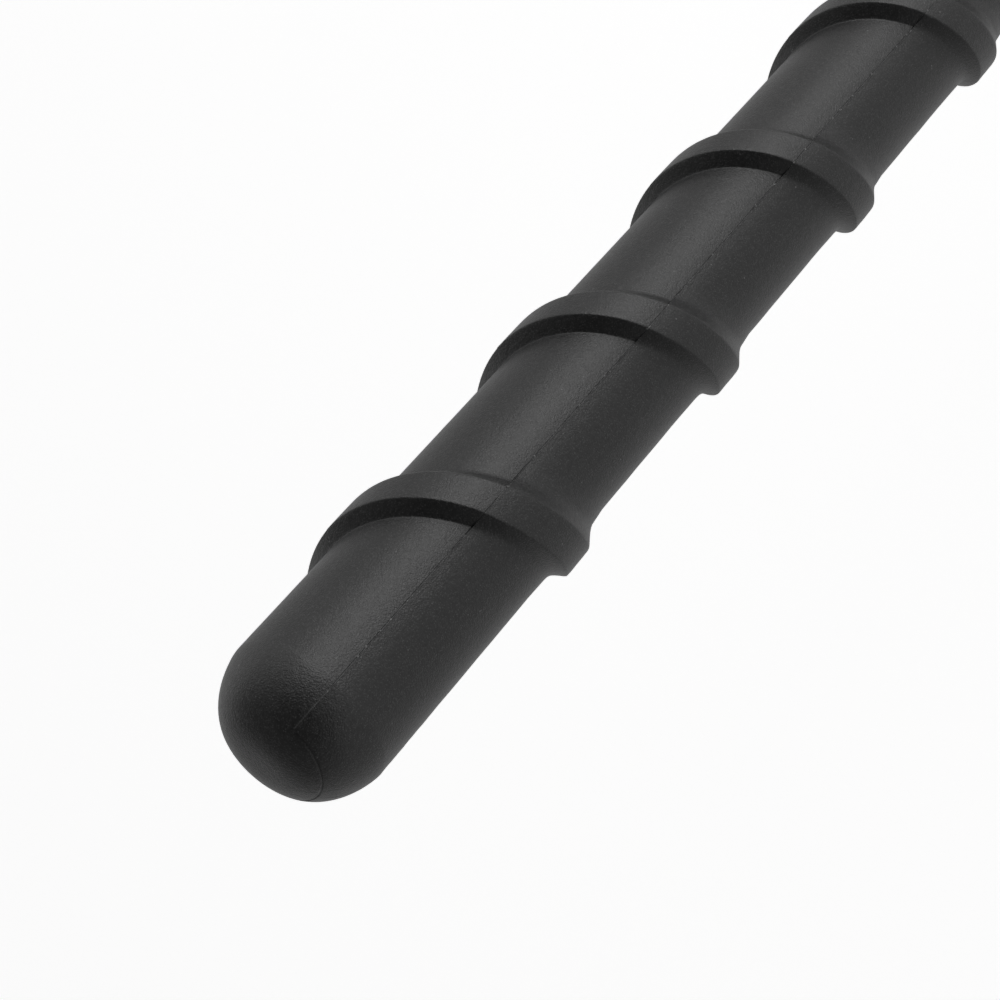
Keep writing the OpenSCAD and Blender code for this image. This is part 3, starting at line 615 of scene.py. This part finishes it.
def copper_wire():
    """Enamelled wire: copper under a clear amber coat."""
    f = Finish("copper_wire", (0.62, 0.26, 0.11), 0.25, metallic=1.0, Coat_Weight=0.6,
               Coat_Roughness=0.12)
    tone = f.span(f.noise(0.8, 3), 0.35, 0.7)
    f.set("Base Color", f.blend(tone, (0.52, 0.20, 0.08), (0.68, 0.30, 0.14)))
    f.set("Roughness", f.span(f.noise(0.2, 2), 0.3, 0.7, 0.2, 0.34))
    f.bump(f.noise(0.15, 2), 0.004)
    return f.mat


# %% Electronics
def circuit_board():
    """Green solder mask over copper tracks, which stand a little proud and look lighter."""
    f = Finish("circuit_board", (0.02, 0.15, 0.07), 0.3, Specular_IOR_Level=0.6)
    x = f.math("FLOORED_MODULO", f.dot((1, 0, 0)), 1.3 * MM)
    y = f.math("FLOORED_MODULO", f.dot((0, 1, 0)), 1.6 * MM)
    along_x = f.span(y, 0.30 * MM, 0.34 * MM, 1.0, 0.0)
    along_y = f.span(x, 0.28 * MM, 0.32 * MM, 1.0, 0.0)
    zone = f.span(f.noise(5, 1), 0.5, 0.51)
    track = f.math("ADD", f.times(along_x, zone), f.times(along_y, f.inverse(zone)))
    weave = f.span(f.noise(0.5, 2), 0.3, 0.7)
    base = f.blend(weave, (0.014, 0.12, 0.055), (0.022, 0.16, 0.08))
    f.set("Base Color", f.blend(track, base, (0.05, 0.26, 0.12)))
    f.set("Roughness", f.span(weave, 0.0, 1.0, 0.24, 0.36))
    f.bump(track, 0.03)
    return f.mat


def chip_black():
    """Moulded electronic parts: charcoal with a fine sparkle of filler."""
    f = Finish("chip_black", grey(0.03), 0.5)
    filler = f.span(f.cells(0.16), 0.2, 0.08)
    base = f.blend(f.span(f.noise(1, 3), 0.35, 0.7), grey(0.026), grey(0.040))
    f.set("Base Color", f.blend(f.times(filler, 0.4), base, grey(0.12)))
    f.set("Roughness", f.span(f.noise(0.2, 2), 0.3, 0.7, 0.42, 0.6))
    f.bump(f.noise(0.1, 3), 0.01)
    return f.mat


# %% [markdown]
# Every solid takes the finish that the record gives it. Pieces made below replace some of them.

# %% Finishes on the solids
MAKERS = [mast_rubber, seal_rubber, cover_plastic, bracket_plastic, sleeve_plastic, glass_fibre,
          painted_zinc, cast_zinc, plated_steel, yellow_steel, nickel_brass, spring_bronze,
          tinned_steel, copper_wire, circuit_board, chip_black]
finish = {make.__name__: make() for make in MAKERS}
for entry in frame["record"]["subparts"]:
    solid = nodes[entry["node"]]
    solid.data.materials.clear()
    solid.data.materials.append(finish[entry["material_slot"]])
print(len(finish), "finishes on", len(nodes), "solids")


def dress(piece, body, slot_name, *replaced):
    """Gives a new piece its finish, slot and body, and hides the solids it stands for."""
    piece.data.materials.append(finish[slot_name])
    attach(piece, body)
    if replaced:
        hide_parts(*replaced)
    print(piece.name, len(piece.data.polygons), "faces")


# %% [markdown]
# The jacket's body is straight at the boot, eases in to the waist, widens evenly to the dome,
# and closes in a blunt dome, which turns in early and is flatter on top than a half ball.

# %% Radius of the jacket's body
def body_radius(z):
    """Boot, half a cosine wave down to the waist, a straight taper up to the dome, and the dome."""
    wave = np.cos(np.pi * (z - BOOT_H) / FLARE_LEN)
    flare = (BOOT_R + WAIST_R) / 2 + (BOOT_R - WAIST_R) / 2 * wave
    taper = WAIST_R + (TIP_R - WAIST_R) * (z - FLARE_TOP) / (DOME_Z - FLARE_TOP)
    share = np.clip((z - DOME_Z) / DOME_LEN, 0, 1)
    dome = TIP_R * (1 - share**DOME_TURN) ** (1 / DOME_FLAT)
    return np.select([z <= BOOT_H, z < FLARE_TOP, z <= DOME_Z], [BOOT_R, flare, taper], dome)


# %% [markdown]
# One rib winds round the jacket as a right-handed screw. On the real mast it is moulded with it.
# A plain grid of rings would cut the rib's edges into steps, so the grid itself is wound:
# each column of points spans one pitch, the rib lies along the rows, and a column's last row is
# the first row of the turn above.

# %% The rib's section
EDGE_SOFT = 0.07
FAR_FLANK = 1.35
FAR_SOFT = 1.6
RIB_REACH = 4 * MM


def soft_floor(x, soft):
    """The greater of x and 0, with its corner rounded over a width of about soft."""
    return (x + np.sqrt(x * x + soft * soft)) / 2


def rib_rise(offset, foot_soft):
    """Height of the rib, from 0 to 1, at an offset from its middle: a flat top and two slopes.

    The slope that faces the boot is longer, the softer the foot is."""
    flank = RIB_FLANK * np.where(offset < 0, FAR_FLANK + FAR_SOFT * foot_soft, 1)
    slope = 1 - (np.abs(offset) - RIB_LAND / 2) / flank
    near = np.clip((RIB_REACH - np.abs(offset)) / MM, 0, 1)
    return near * (1 - soft_floor(1 - soft_floor(slope, foot_soft), EDGE_SOFT))


print("rib at its middle:", round(float(rib_rise(np.array(0.0), 0.2)), 3))

# %% [markdown]
# Mast jacket, the piece that the photograph shows. The real one is rubber moulded round the core
# in a tool with four side jaws and a round end insert. The tool leaves four fine parting lines
# down the mast, a circle on the dome, and edges that aren't equally sharp in all four jaws.
# It could be a lathe shape with a solid helix joined to it, but a joint leaves ragged edges.
# So the skin is one wound grid: rows follow the rib, columns follow the mast, and columns are
# packed close together beside each parting line. Rows are held between two heights, so the grid
# ends in plain rings that the boot and the dome carry on from. The rib's length and its start are
# those of the solid, whose rib has 318 steps of a 32nd of a turn.

# %% Mast jacket: columns, jaws and flash
RIB_TOP_Z = MAST_LEN - RIB_START
RIB_STEPS, STEPS_A_TURN = 318, 32
RIB_TURNS = RIB_STEPS / STEPS_A_TURN
RIB_FADE = 0.1
TURNS_WOUND = np.arange(-3, 13)
SKIN_LOW = FLARE_TOP + 0.5 * MM
SKIN_HIGH = DOME_Z - 0.2 * MM
CLAMP_BAND = 0.12 * MM
JAW_SOFT = np.array([0.05, 0.10, 0.20, 0.38])
JAW_LEAD = 0.11 * MM
JAW_SHIFT = np.array([0.006, -0.004, 0.004, -0.006]) * MM
FLASH_H = 0.016 * MM
FLASH_W = 0.04 * MM
BORE = [(0, 168.05), (2.35, 168.05), (2.35, 14.05), (3.25, 14.05), (3.25, 0)]
GROOVE_DEPTH = 0.06 * MM
GROOVE_W = 0.03 * MM


def column_angles():
    """Angles round one turn, in degrees from the seam, with more of them beside the four seams."""
    beside = np.array([-0.16, -0.09, -0.05, -0.025, 0, 0.025, 0.05, 0.09, 0.16]) * MM
    beside = np.degrees(beside / WAIST_R)
    quarter = np.concatenate([beside, np.linspace(beside[-1], 90 - beside[-1], 28)[1:-1]])
    return np.concatenate([90 * jaw + quarter for jaw in range(4)])


def seam_relief(psi, radius, z):
    """What the tool adds: each jaw slightly in or out of line, and a fine rubbed flash between."""
    jaw = (psi % 360 // 90).astype(int)
    off = np.radians((psi + 45) % 90 - 45) * radius / FLASH_W
    wear = 0.55 + 0.45 * np.sin(z / MM * 2.1 + psi) * np.sin(z / MM * 5.3)
    return np.exp(-off * off) * wear * FLASH_H + JAW_SHIFT[jaw] * (1 - np.exp(-off * off))


def rib_offsets():
    """Distances from the rib's middle over one pitch, close together where its slopes turn."""
    slope = [-0.5, -0.28, -0.14, -0.07, -0.03, 0.0, 0.03, 0.08, 0.18, 0.3, 0.42, 0.51, 0.56, 0.595,
             0.63, 0.68, 0.75, 0.86, 1.05, 1.3]
    slope = np.array(slope) * MM + RIB_LAND / 2
    land = np.linspace(-slope[0], slope[0], 4)[1:-1]
    groove = np.linspace(slope[-1], RIB_PITCH - slope[-1], 10)[1:]
    return np.concatenate([-slope[::-1], land, slope, groove])


# %% Mast jacket: the wound rows
def wound_rows(psi):
    """The wound grid's heights and radii, a row for each column, and each column's share of a turn.

    The heights are held between SKIN_LOW and SKIN_HIGH. A column at share s of a turn meets the
    rib at z = top - pitch * (turns - m - s), for each whole m. The last value is a turn's rows."""
    offsets = rib_offsets()[:-1]
    share = ((psi - RIB_START_ANGLE + SEAM_ANGLE) / 360 + RIB_TURNS) % 1
    wound = TURNS_WOUND[None, :, None] + share[:, None, None] + 0 * offsets
    lead = np.radians(psi)[:, None, None]
    wander = JAW_LEAD * (1 - np.cos(lead) - np.sin(lead))
    middle = RIB_TOP_Z - RIB_PITCH * (RIB_TURNS - wound) + wander
    z = np.clip(middle + offsets, SKIN_LOW, SKIN_HIGH)
    z = np.where(z > SKIN_HIGH - CLAMP_BAND, SKIN_HIGH, z)
    z = np.where(z < SKIN_LOW + CLAMP_BAND, SKIN_LOW, z)
    rise = np.clip(np.minimum(wound, RIB_TURNS - wound) / RIB_FADE, 0, 1)
    rise = rise * (z > SKIN_LOW) * (z < SKIN_HIGH)
    soft = JAW_SOFT[(psi % 360 // 90).astype(int)][:, None, None]
    radius = body_radius(z) + RIB_H * rise * rise * (3 - 2 * rise) * rib_rise(offsets, soft)
    return z.reshape(len(psi), -1), radius.reshape(len(psi), -1), share, len(offsets)


def merged(points, faces):
    """Points that coincide become one, and faces keep only their separate corners."""
    keys = np.round(points / 1e-8).astype(np.int64)
    _, first, same = np.unique(keys, axis=0, return_index=True, return_inverse=True)
    corners = [list(dict.fromkeys(f)) for f in same.reshape(-1)[faces].tolist()]
    return points[first], [f for f in corners if len(f) > 2]


def lathe_points(psi, radius, z):
    """Rings of points, one ring for each radius and height, at the angles psi from the seam."""
    angle = np.broadcast_to(psi + SEAM_ANGLE, radius.shape)
    return on_mast(radius, angle, z)


def boot_rows(psi):
    """Rings from the bore's end, out under the boot and up to the first wound row."""
    z = np.array([0, 0.05, 0.15, 0.3, 2]) * MM
    z = np.concatenate([z, np.linspace(BOOT_H, SKIN_LOW, 24)])
    radius = body_radius(z) - 0.25 * MM * np.clip(1 - z / (0.3 * MM), 0, 1) ** 2
    bore = np.array(BORE) * MM
    radius = np.concatenate([bore[:, 0], radius])[:, None]
    z = np.concatenate([bore[:, 1], z])[:, None] + 0 * psi
    relief = np.where(z > 0.2 * MM, seam_relief(psi, radius, z), 0)
    relief[: len(bore)] = 0
    return lathe_points(psi, radius + relief, z)


def dome_rows(psi):
    """Rings from the last wound row to the tip, closer together round the insert's groove."""
    b = 45 - 45 * np.cos(np.pi * np.linspace(0, 1, 42))
    b = np.radians(np.sort(np.concatenate([b, np.arange(49.5, 63.6, 0.45)])))
    radius = np.append(body_radius(np.array([SKIN_HIGH])), TIP_R * np.cos(b) ** (2 / DOME_FLAT))
    z = np.append(SKIN_HIGH, DOME_Z + DOME_LEN * np.sin(b) ** (2 / DOME_TURN))
    radius[-1] = 0
    radius, z = radius[:, None] + 0 * psi, z[:, None] + 0 * psi
    a = np.radians(psi)
    x, y = radius * np.cos(a) - INSERT_OFF[0], radius * np.sin(a) - INSERT_OFF[1]
    beyond = np.hypot(x, y) - INSERT_R
    open_half = np.clip(0.5 - 2 * np.sin(a), 0.05, 1)
    z = z - GROOVE_DEPTH * open_half * np.exp(-((beyond / GROOVE_W) ** 2))
    radius = radius + np.where(beyond > 0, seam_relief(psi, radius, z), 0)
    return lathe_points(psi, radius, z)


def mast_skin():
    """All of the jacket as points and faces: the wound rows, the bore and boot, and the dome."""
    psi = column_angles()
    n = len(psi)
    z, radius, share, rows = wound_rows(psi)
    radius = radius + seam_relief(psi[:, None], radius, z)
    total = z.shape[1]
    parts = lathe_points(psi[:, None], radius, z), boot_rows(psi), dome_rows(psi)
    wound, low, high = [part.reshape(-1, 3) for part in parts]
    col, row = np.meshgrid(np.arange(n), np.arange(total - 1 - rows), indexing="ij")
    nxt = (col + 1) % n
    here = col * total + row
    there = nxt * total + row + np.where(share[nxt] < share[col], rows, 0)
    faces = [np.stack([here, there, there + 1, here + 1], -1).reshape(-1, 4),
             grid_faces(len(low) // n, n, len(wound)),
             grid_faces(len(high) // n, n, len(wound) + len(low))]
    return merged(np.concatenate([wound, low, high]), np.concatenate(faces))


jacket = add_mesh("mast_skin", *mast_skin(), sharp_deg=75)
dress(jacket, "mast", "mast_rubber", "mast_jacket")

# %% [markdown]
# The foot's pieces are closed surfaces on a grid that wraps both ways: a section carried round
# the piece. A grid that came out inside out has a negative volume, and its faces are turned over.

# %% Helper for rings and plain bodies
def outward(points, quads):
    """The faces of a closed surface, turned over where they look inward.

    The volume is a sixth of the sum of a . (b x c + c x d) over the faces with corners a to d."""
    a, b, c, d = points[quads].transpose(1, 0, 2)
    volume = np.sum(a * (np.cross(b, c) + np.cross(c, d))) / 6
    return quads[:, ::-1] if volume < 0 else quads


def add_ring(name, rings, sharp_deg):
    """A piece from an array of rings of points, closed round each ring and from last to first."""
    points = rings.reshape(-1, 3)
    quads = grid_faces(len(rings) + 1, rings.shape[1]) % len(points)
    return add_mesh(name, *merged(points, outward(points, quads)), sharp_deg)


def settled(piece, *modifiers):
    """Runs the modifiers and keeps their result as the piece's own mesh."""
    for kind, settings in modifiers:
        modifier = piece.modifiers.new(kind.lower(), kind)
        for key, value in settings.items():
            setattr(modifier, key, value)
    bpy.context.view_layer.update()
    shown = piece.evaluated_get(bpy.context.evaluated_depsgraph_get())
    done = bpy.data.meshes.new_from_object(shown)
    piece.modifiers.clear()
    piece.data = done


# %% [markdown]
# Foot cover. The real one is a moulded shell, round behind and drawn out to a low nose, with a
# slot that lets the knuckle fold. The solid has flat facets, which a glossy black cover would
# show. The same form is a function of two angles, so it is made again from many more points,
# inside and outside, and the slot is cut out of it as a mould's core would leave it.

# %% Foot cover: its form
FOOT_MID = -10 * MM
FOOT_NOSE = 50 * MM
FOOT_REAR = 18 * MM
FOOT_HALF_W = 18.05 * MM
FOOT_H = 23 * MM
REAR_FULL = 0.87
NOSE_DROP = 0.5
NOSE_EASE = 1.5
CROWN_FULL = 0.8
PLATE_Z = 2 * MM
COVER_WALL = 2 * MM


def foot_outline(a, margin):
    """The foot seen from above: half an ellipse in front, and a fuller half behind."""
    c, s = np.cos(a), np.sin(a)
    x = np.where(c >= 0, (FOOT_NOSE - margin) * c, -(FOOT_REAR - margin) * np.abs(c) ** REAR_FULL)
    y = (FOOT_HALF_W - margin) * np.sign(s) * np.abs(s) ** np.where(c >= 0, 1, REAR_FULL)
    return x, y


def crown_height(x, margin):
    """Height of the ridge above the plate: level behind, and falling towards the nose."""
    return (FOOT_H - margin) * (1 - NOSE_DROP * (np.maximum(0, x) / FOOT_NOSE) ** NOSE_EASE)


def cover_points(a, b, margin):
    """The outline shrinks with cos(b), and the height grows with sin(b), both to one power."""
    x, y = [v * np.cos(b) ** CROWN_FULL for v in foot_outline(a, margin)]
    z = PLATE_Z + np.sin(b) ** CROWN_FULL * crown_height(x, margin)
    return np.stack([FOOT_MID + x, y + 0 * x, z], -1)


def cover_height(x, y, margin):
    """Height of the form above a place: the outline's share there gives b, and b the height."""
    x = x - FOOT_MID
    n, r, w = FOOT_NOSE - margin, FOOT_REAR - margin, FOOT_HALF_W - margin
    ahead = np.sqrt((x / n) ** 2 + (y / w) ** 2)
    full = 2 / REAR_FULL
    behind = ((np.abs(x) / r) ** full + (np.abs(y) / w) ** full) ** (1 / full)
    share = np.clip(np.where(x >= 0, ahead, behind), 0, 1)
    b = np.arccos(share ** (1 / CROWN_FULL))
    return PLATE_Z + np.sin(b) ** CROWN_FULL * crown_height(x, margin)


# %% Foot cover: shell, slot and bosses
LIP_IN = 0.25 * MM
SLOT_AHEAD = 6.0 * MM
SLOT_HALF_W = 6.2 * MM
SLOT_LOW = 9.6 * MM
FAR_OUT = 60 * MM
BOSS_R = 2.5 * MM
BOSS_LOW = 5.05 * MM
SCREW_R = 1.3 * MM
SCREW_END = 14 * MM


def cover_shell():
    """The form's outside and inside as one closed surface, with its lower lip drawn in."""
    a = np.radians(np.arange(0, 360, 2.0))[None, :]
    u = np.linspace(0, 1, 50)[:, None]
    b = np.pi / 2 * (1 - np.cos(np.pi * u)) / 2
    outside = cover_points(a, b, 0.0)
    outside[0, :, :2] = cover_points(a, b[:1], LIP_IN)[0, :, :2]
    inside = cover_points(a, b, COVER_WALL)[::-1]
    return add_ring("cover_shell", np.concatenate([outside, inside]), 50)


def slot_block():
    """A block as wide as the slot. Its front face runs along the mast."""
    ahead, up = pivot[[0, 2]] + SLOT_AHEAD * front[[0, 2]], along[[0, 2]]
    low, high = [ahead + up * ((z - ahead[1]) / up[1]) for z in (SLOT_LOW, FAR_OUT)]
    corners = [low, high, (-FAR_OUT, FAR_OUT), (-FAR_OUT, SLOT_LOW)]
    points = np.array([(x, y, z) for y in (-SLOT_HALF_W, SLOT_HALF_W) for x, z in corners])
    around = [[(k + 1) % 4, k, k + 4, (k + 1) % 4 + 4] for k in range(4)]
    faces = np.array([[0, 1, 2, 3], [7, 6, 5, 4], *around])
    return add_mesh("slot_block", points, outward(points, faces))


def boss(x, y):
    """A tube with a blind bore. It starts above the plate and ends inside the shell's wall."""
    a = np.radians(np.arange(0, 360, 7.5))
    rings = []
    for radius, highest in ((SCREW_R, BOSS_LOW), (BOSS_R, BOSS_LOW), (BOSS_R, math.inf),
                            (SCREW_R, SCREW_END)):
        px, py = x + radius * np.cos(a), y + radius * np.sin(a)
        pz = np.minimum(cover_height(px, py, COVER_WALL / 2), highest)
        rings.append(np.stack([px, py, pz], -1))
    return add_ring("boss", np.array(rings), 30)


def joined(pieces, name):
    """Several pieces' meshes in one object."""
    points, faces, first = [], [], 0
    for piece in pieces:
        mesh = piece.data
        points.append(np.array([v.co for v in mesh.vertices]))
        faces += [[first + i for i in p.vertices] for p in mesh.polygons]
        first += len(mesh.vertices)
        bpy.data.objects.remove(piece)
    return add_mesh(name, np.concatenate(points), faces, 40)


shell, block = cover_shell(), slot_block()
settled(shell, ("BOOLEAN", {"operation": "DIFFERENCE", "solver": "EXACT", "object": block}))
bpy.data.objects.remove(block)
BOSS_PLACES = [(FOOT_MID - 0.53 * FOOT_REAR, s * FOOT_HALF_W / 2) for s in (1, -1)]
BOSS_PLACES.append((FOOT_MID + 0.8 * FOOT_NOSE, 0.0))
cover = joined([shell] + [boss(x, y) for x, y in BOSS_PLACES], "foot_cover_shell")
dress(cover, "foot", "cover_plastic", "foot_cover")

# %% [markdown]
# Roof seal. A soft rubber mat under the foot, with a rounded lip that shows all round the cover
# and two shallow grooves underneath that hold water back. Its section is carried round the
# outline, as pairs of an inset from the outline and a height.

# %% Roof seal
SEAL_H = 2.0 * MM
SEAL_HOLE_R = 10.9 * MM
SEAL_SECTION = [(4.6, 0), (4.4, 0.35), (3.8, 0.35), (3.6, 0), (2.4, 0), (2.2, 0.35), (1.6, 0.35),
                (1.4, 0), (-0.35, 0), (-0.62, 0.07), (-0.78, 0.28), (-0.8, 0.6), (-0.8, 1.35),
                (-0.76, 1.66), (-0.64, 1.88), (-0.45, 1.99), (-0.25, 1.97), (-0.08, 1.9),
                (0.1, 1.9), (0.3, 2.0)]


def seal_rings():
    """The section's rings, and two rings of the round hole, which close it."""
    a = np.radians(np.arange(0, 360, 2.0))
    rings = []
    for inset, height in SEAL_SECTION:
        x, y = foot_outline(a, inset * MM)
        rings.append(np.stack([FOOT_MID + x, y, height * MM + 0 * x], -1))
    bearing = np.arctan2(rings[0][:, 1], rings[0][:, 0])
    hole_x, hole_y = SEAL_HOLE_R * np.cos(bearing), SEAL_HOLE_R * np.sin(bearing)
    rings += [np.stack([hole_x, hole_y, height + 0 * a], -1) for height in (SEAL_H, 0.0)]
    return np.array(rings)


dress(add_ring("seal_mat", seal_rings(), 50), "foot", "seal_rubber", "roof_seal")


# %% [markdown]
# Neck and roof nut. The solids have a plain neck in a plain nut. Real ones have a fine thread,
# so the neck's surface here follows a right-handed screw: its radius depends on how far a point is
# from the nearest crest. The nut is a hexagon with its corners turned off by a cone.

# %% Threads
THREAD_R = 7.0 * MM
THREAD_DEPTH = 0.5 * MM
THREAD_PITCH = 1.5 * MM
THREAD_LOW = -19.7 * MM
NECK_FOOT = [(3.5, -20), (6.1, -20), (6.4, -19.9)]
NECK_HEAD = [(6.9, -0.9), (5.2, -0.9), (5.2, -19.5), (3.5, -19.5)]
NUT_HALF_FLATS = 9.5 * MM
NUT_FACE_R = 9.35 * MM
NUT_LOW = -13.2 * MM
NUT_CONE = 1.7
NUT_Z = [-13.2, -13.1, -12.9, -12.6, -12.2, -11.8, -11.2, -10, -8.2, -7.72, -7.7]
NUT_FLANGE = [(11.2, -7.7), (11.45, -7.6), (11.5, -7.4), (11.5, -6.5), (11.42, -6.3),
              (11.2, -6.2), (7.6, -6.2), (7.05, -6.75), (7.05, -12.6), (7.6, -13.2)]


def thread_depth(z, a):
    """0 on the crest and 1 in the root of a right-handed thread, with both a little flattened."""
    phase = (z / THREAD_PITCH - a / (2 * np.pi)) % 1
    return np.clip(np.abs(2 * phase - 1) * 1.3 - 0.15, 0, 1)


def turned_ring(name, section, cols, sharp_deg):
    """A ring from a function of the bearing that gives the section's radii and heights."""
    a = np.radians(np.arange(0, 360, 360 / cols))[None, :]
    radius, z = section(a)
    rings = np.stack([radius * np.cos(a), radius * np.sin(a), z + 0 * radius * a], -1)
    return add_ring(name, rings, sharp_deg)


def neck_section(a):
    """A threaded tube, whose thread runs out towards its lower end."""
    z = np.arange(-19.6, -1.0, 0.125)[:, None] * MM
    end = np.clip((z - THREAD_LOW) / (0.7 * MM), 0, 1)
    screw = THREAD_R - THREAD_DEPTH * np.maximum(thread_depth(z, a), 1 - end)
    low, high = [np.array(e)[:, :, None] * MM for e in (NECK_FOOT, NECK_HEAD)]
    radius = np.concatenate([low[:, 0] + 0 * a, screw, high[:, 0] + 0 * a])
    return radius, np.concatenate([low[:, 1], z, high[:, 1]])


def nut_section(a):
    """Hexagon cut by a cone below, a round flange above, and a chamfered bore."""
    z = np.array(NUT_Z)[:, None] * MM
    hexagon = NUT_HALF_FLATS / np.cos((a % (np.pi / 3)) - np.pi / 6)
    outside = np.minimum(hexagon, NUT_FACE_R + (z - NUT_LOW) * NUT_CONE)
    flange = np.array(NUT_FLANGE)[:, :, None] * MM
    return np.concatenate([outside, flange[:, 0] + 0 * a]), np.concatenate([z, flange[:, 1]])


neck = turned_ring("neck_thread", neck_section, 96, 60)
dress(neck, "foot", "cast_zinc")
dress(turned_ring("roof_nut_turned", nut_section, 144, 25), "foot", "plated_steel", "roof_nut")

# %% [markdown]
# The other hard pieces keep the shape of their solids, which is right, but no real casting, turned
# or pressed piece has knife edges. A copy of each solid is merged, since its triangles are loose,
# its flat faces are joined, and its edges are rounded by a small bevel with flat faces kept flat.

# %% Rounded copies of the hard pieces
NECK_TOP = -1.15 * MM
NECK_R = 6.2 * MM
WELD = 1e-6
FLAT_DEG = 0.4
EDGE_DEG = 30
EDGES = {"knuckle": 0.3, "mast_ferrule": 0.12, "hinge_bracket": 0.25, "pivot_screw": 0.2,
         "pivot_nut": 0.15, "friction_washer_left": 0.06, "friction_washer_right": 0.06,
         "claw_washer": 0.15, "cover_screws": 0.1, "bracket_screws": 0.1, "board_screws": 0.08,
         "shield_can": 0.05, "board_parts": 0.08, "amplifier_board": 0.1, "contact_spring": 0.06,
         "cable_grommet": 0.3, "seat_gasket": 0.15, "base_plate": 0.3}
slot_of = {entry["node"]: entry["material_slot"] for entry in frame["record"]["subparts"]}
bodies = frame["record"]["behaviour"]["bodies"]
body_of = {node: body for body, names in bodies.items() for node in names}


def under_thread(place):
    """Draws the neck's plain outside and end in, so that they stay inside the threaded piece."""
    out = math.hypot(place.x, place.y)
    if place.z < NECK_TOP and abs(out - THREAD_R) < 0.2 * MM:
        place.x, place.y = place.x * NECK_R / out, place.y * NECK_R / out
    if place.z < THREAD_LOW - 0.2 * MM:
        place.z = THREAD_LOW


def rounded(node, width_mm):
    """A copy of a solid's mesh with its edges rounded, after the neck has been drawn in."""
    work = bmesh.new()
    work.from_mesh(nodes[node].data)
    bmesh.ops.remove_doubles(work, verts=work.verts, dist=WELD)
    if node == "base_plate":
        for point in work.verts:
            under_thread(point.co)
    bmesh.ops.dissolve_limit(work, angle_limit=math.radians(FLAT_DEG), verts=work.verts,
                             edges=work.edges)
    mesh = bpy.data.meshes.new(node)
    work.to_mesh(mesh)
    work.free()
    mesh.materials.clear()
    mesh.polygons.foreach_set("use_smooth", np.ones(len(mesh.polygons), bool))
    piece = bpy.data.objects.new(node + "_rounded", mesh)
    bpy.context.scene.collection.objects.link(piece)
    bevel = {"limit_method": "ANGLE", "angle_limit": math.radians(EDGE_DEG), "segments": 2,
             "width": width_mm * MM}
    settled(piece, ("BEVEL", bevel), ("WEIGHTED_NORMAL", {}))
    dress(piece, body_of[node], slot_of[node], node)


for node, width in EDGES.items():
    rounded(node, width)

# %% [markdown]
# Sizes. The box round the solids is printed, in millimetres.

# %% Size of the solids
print("solids", [[round(v / MM, 2) for v in c] for c in cad_box])
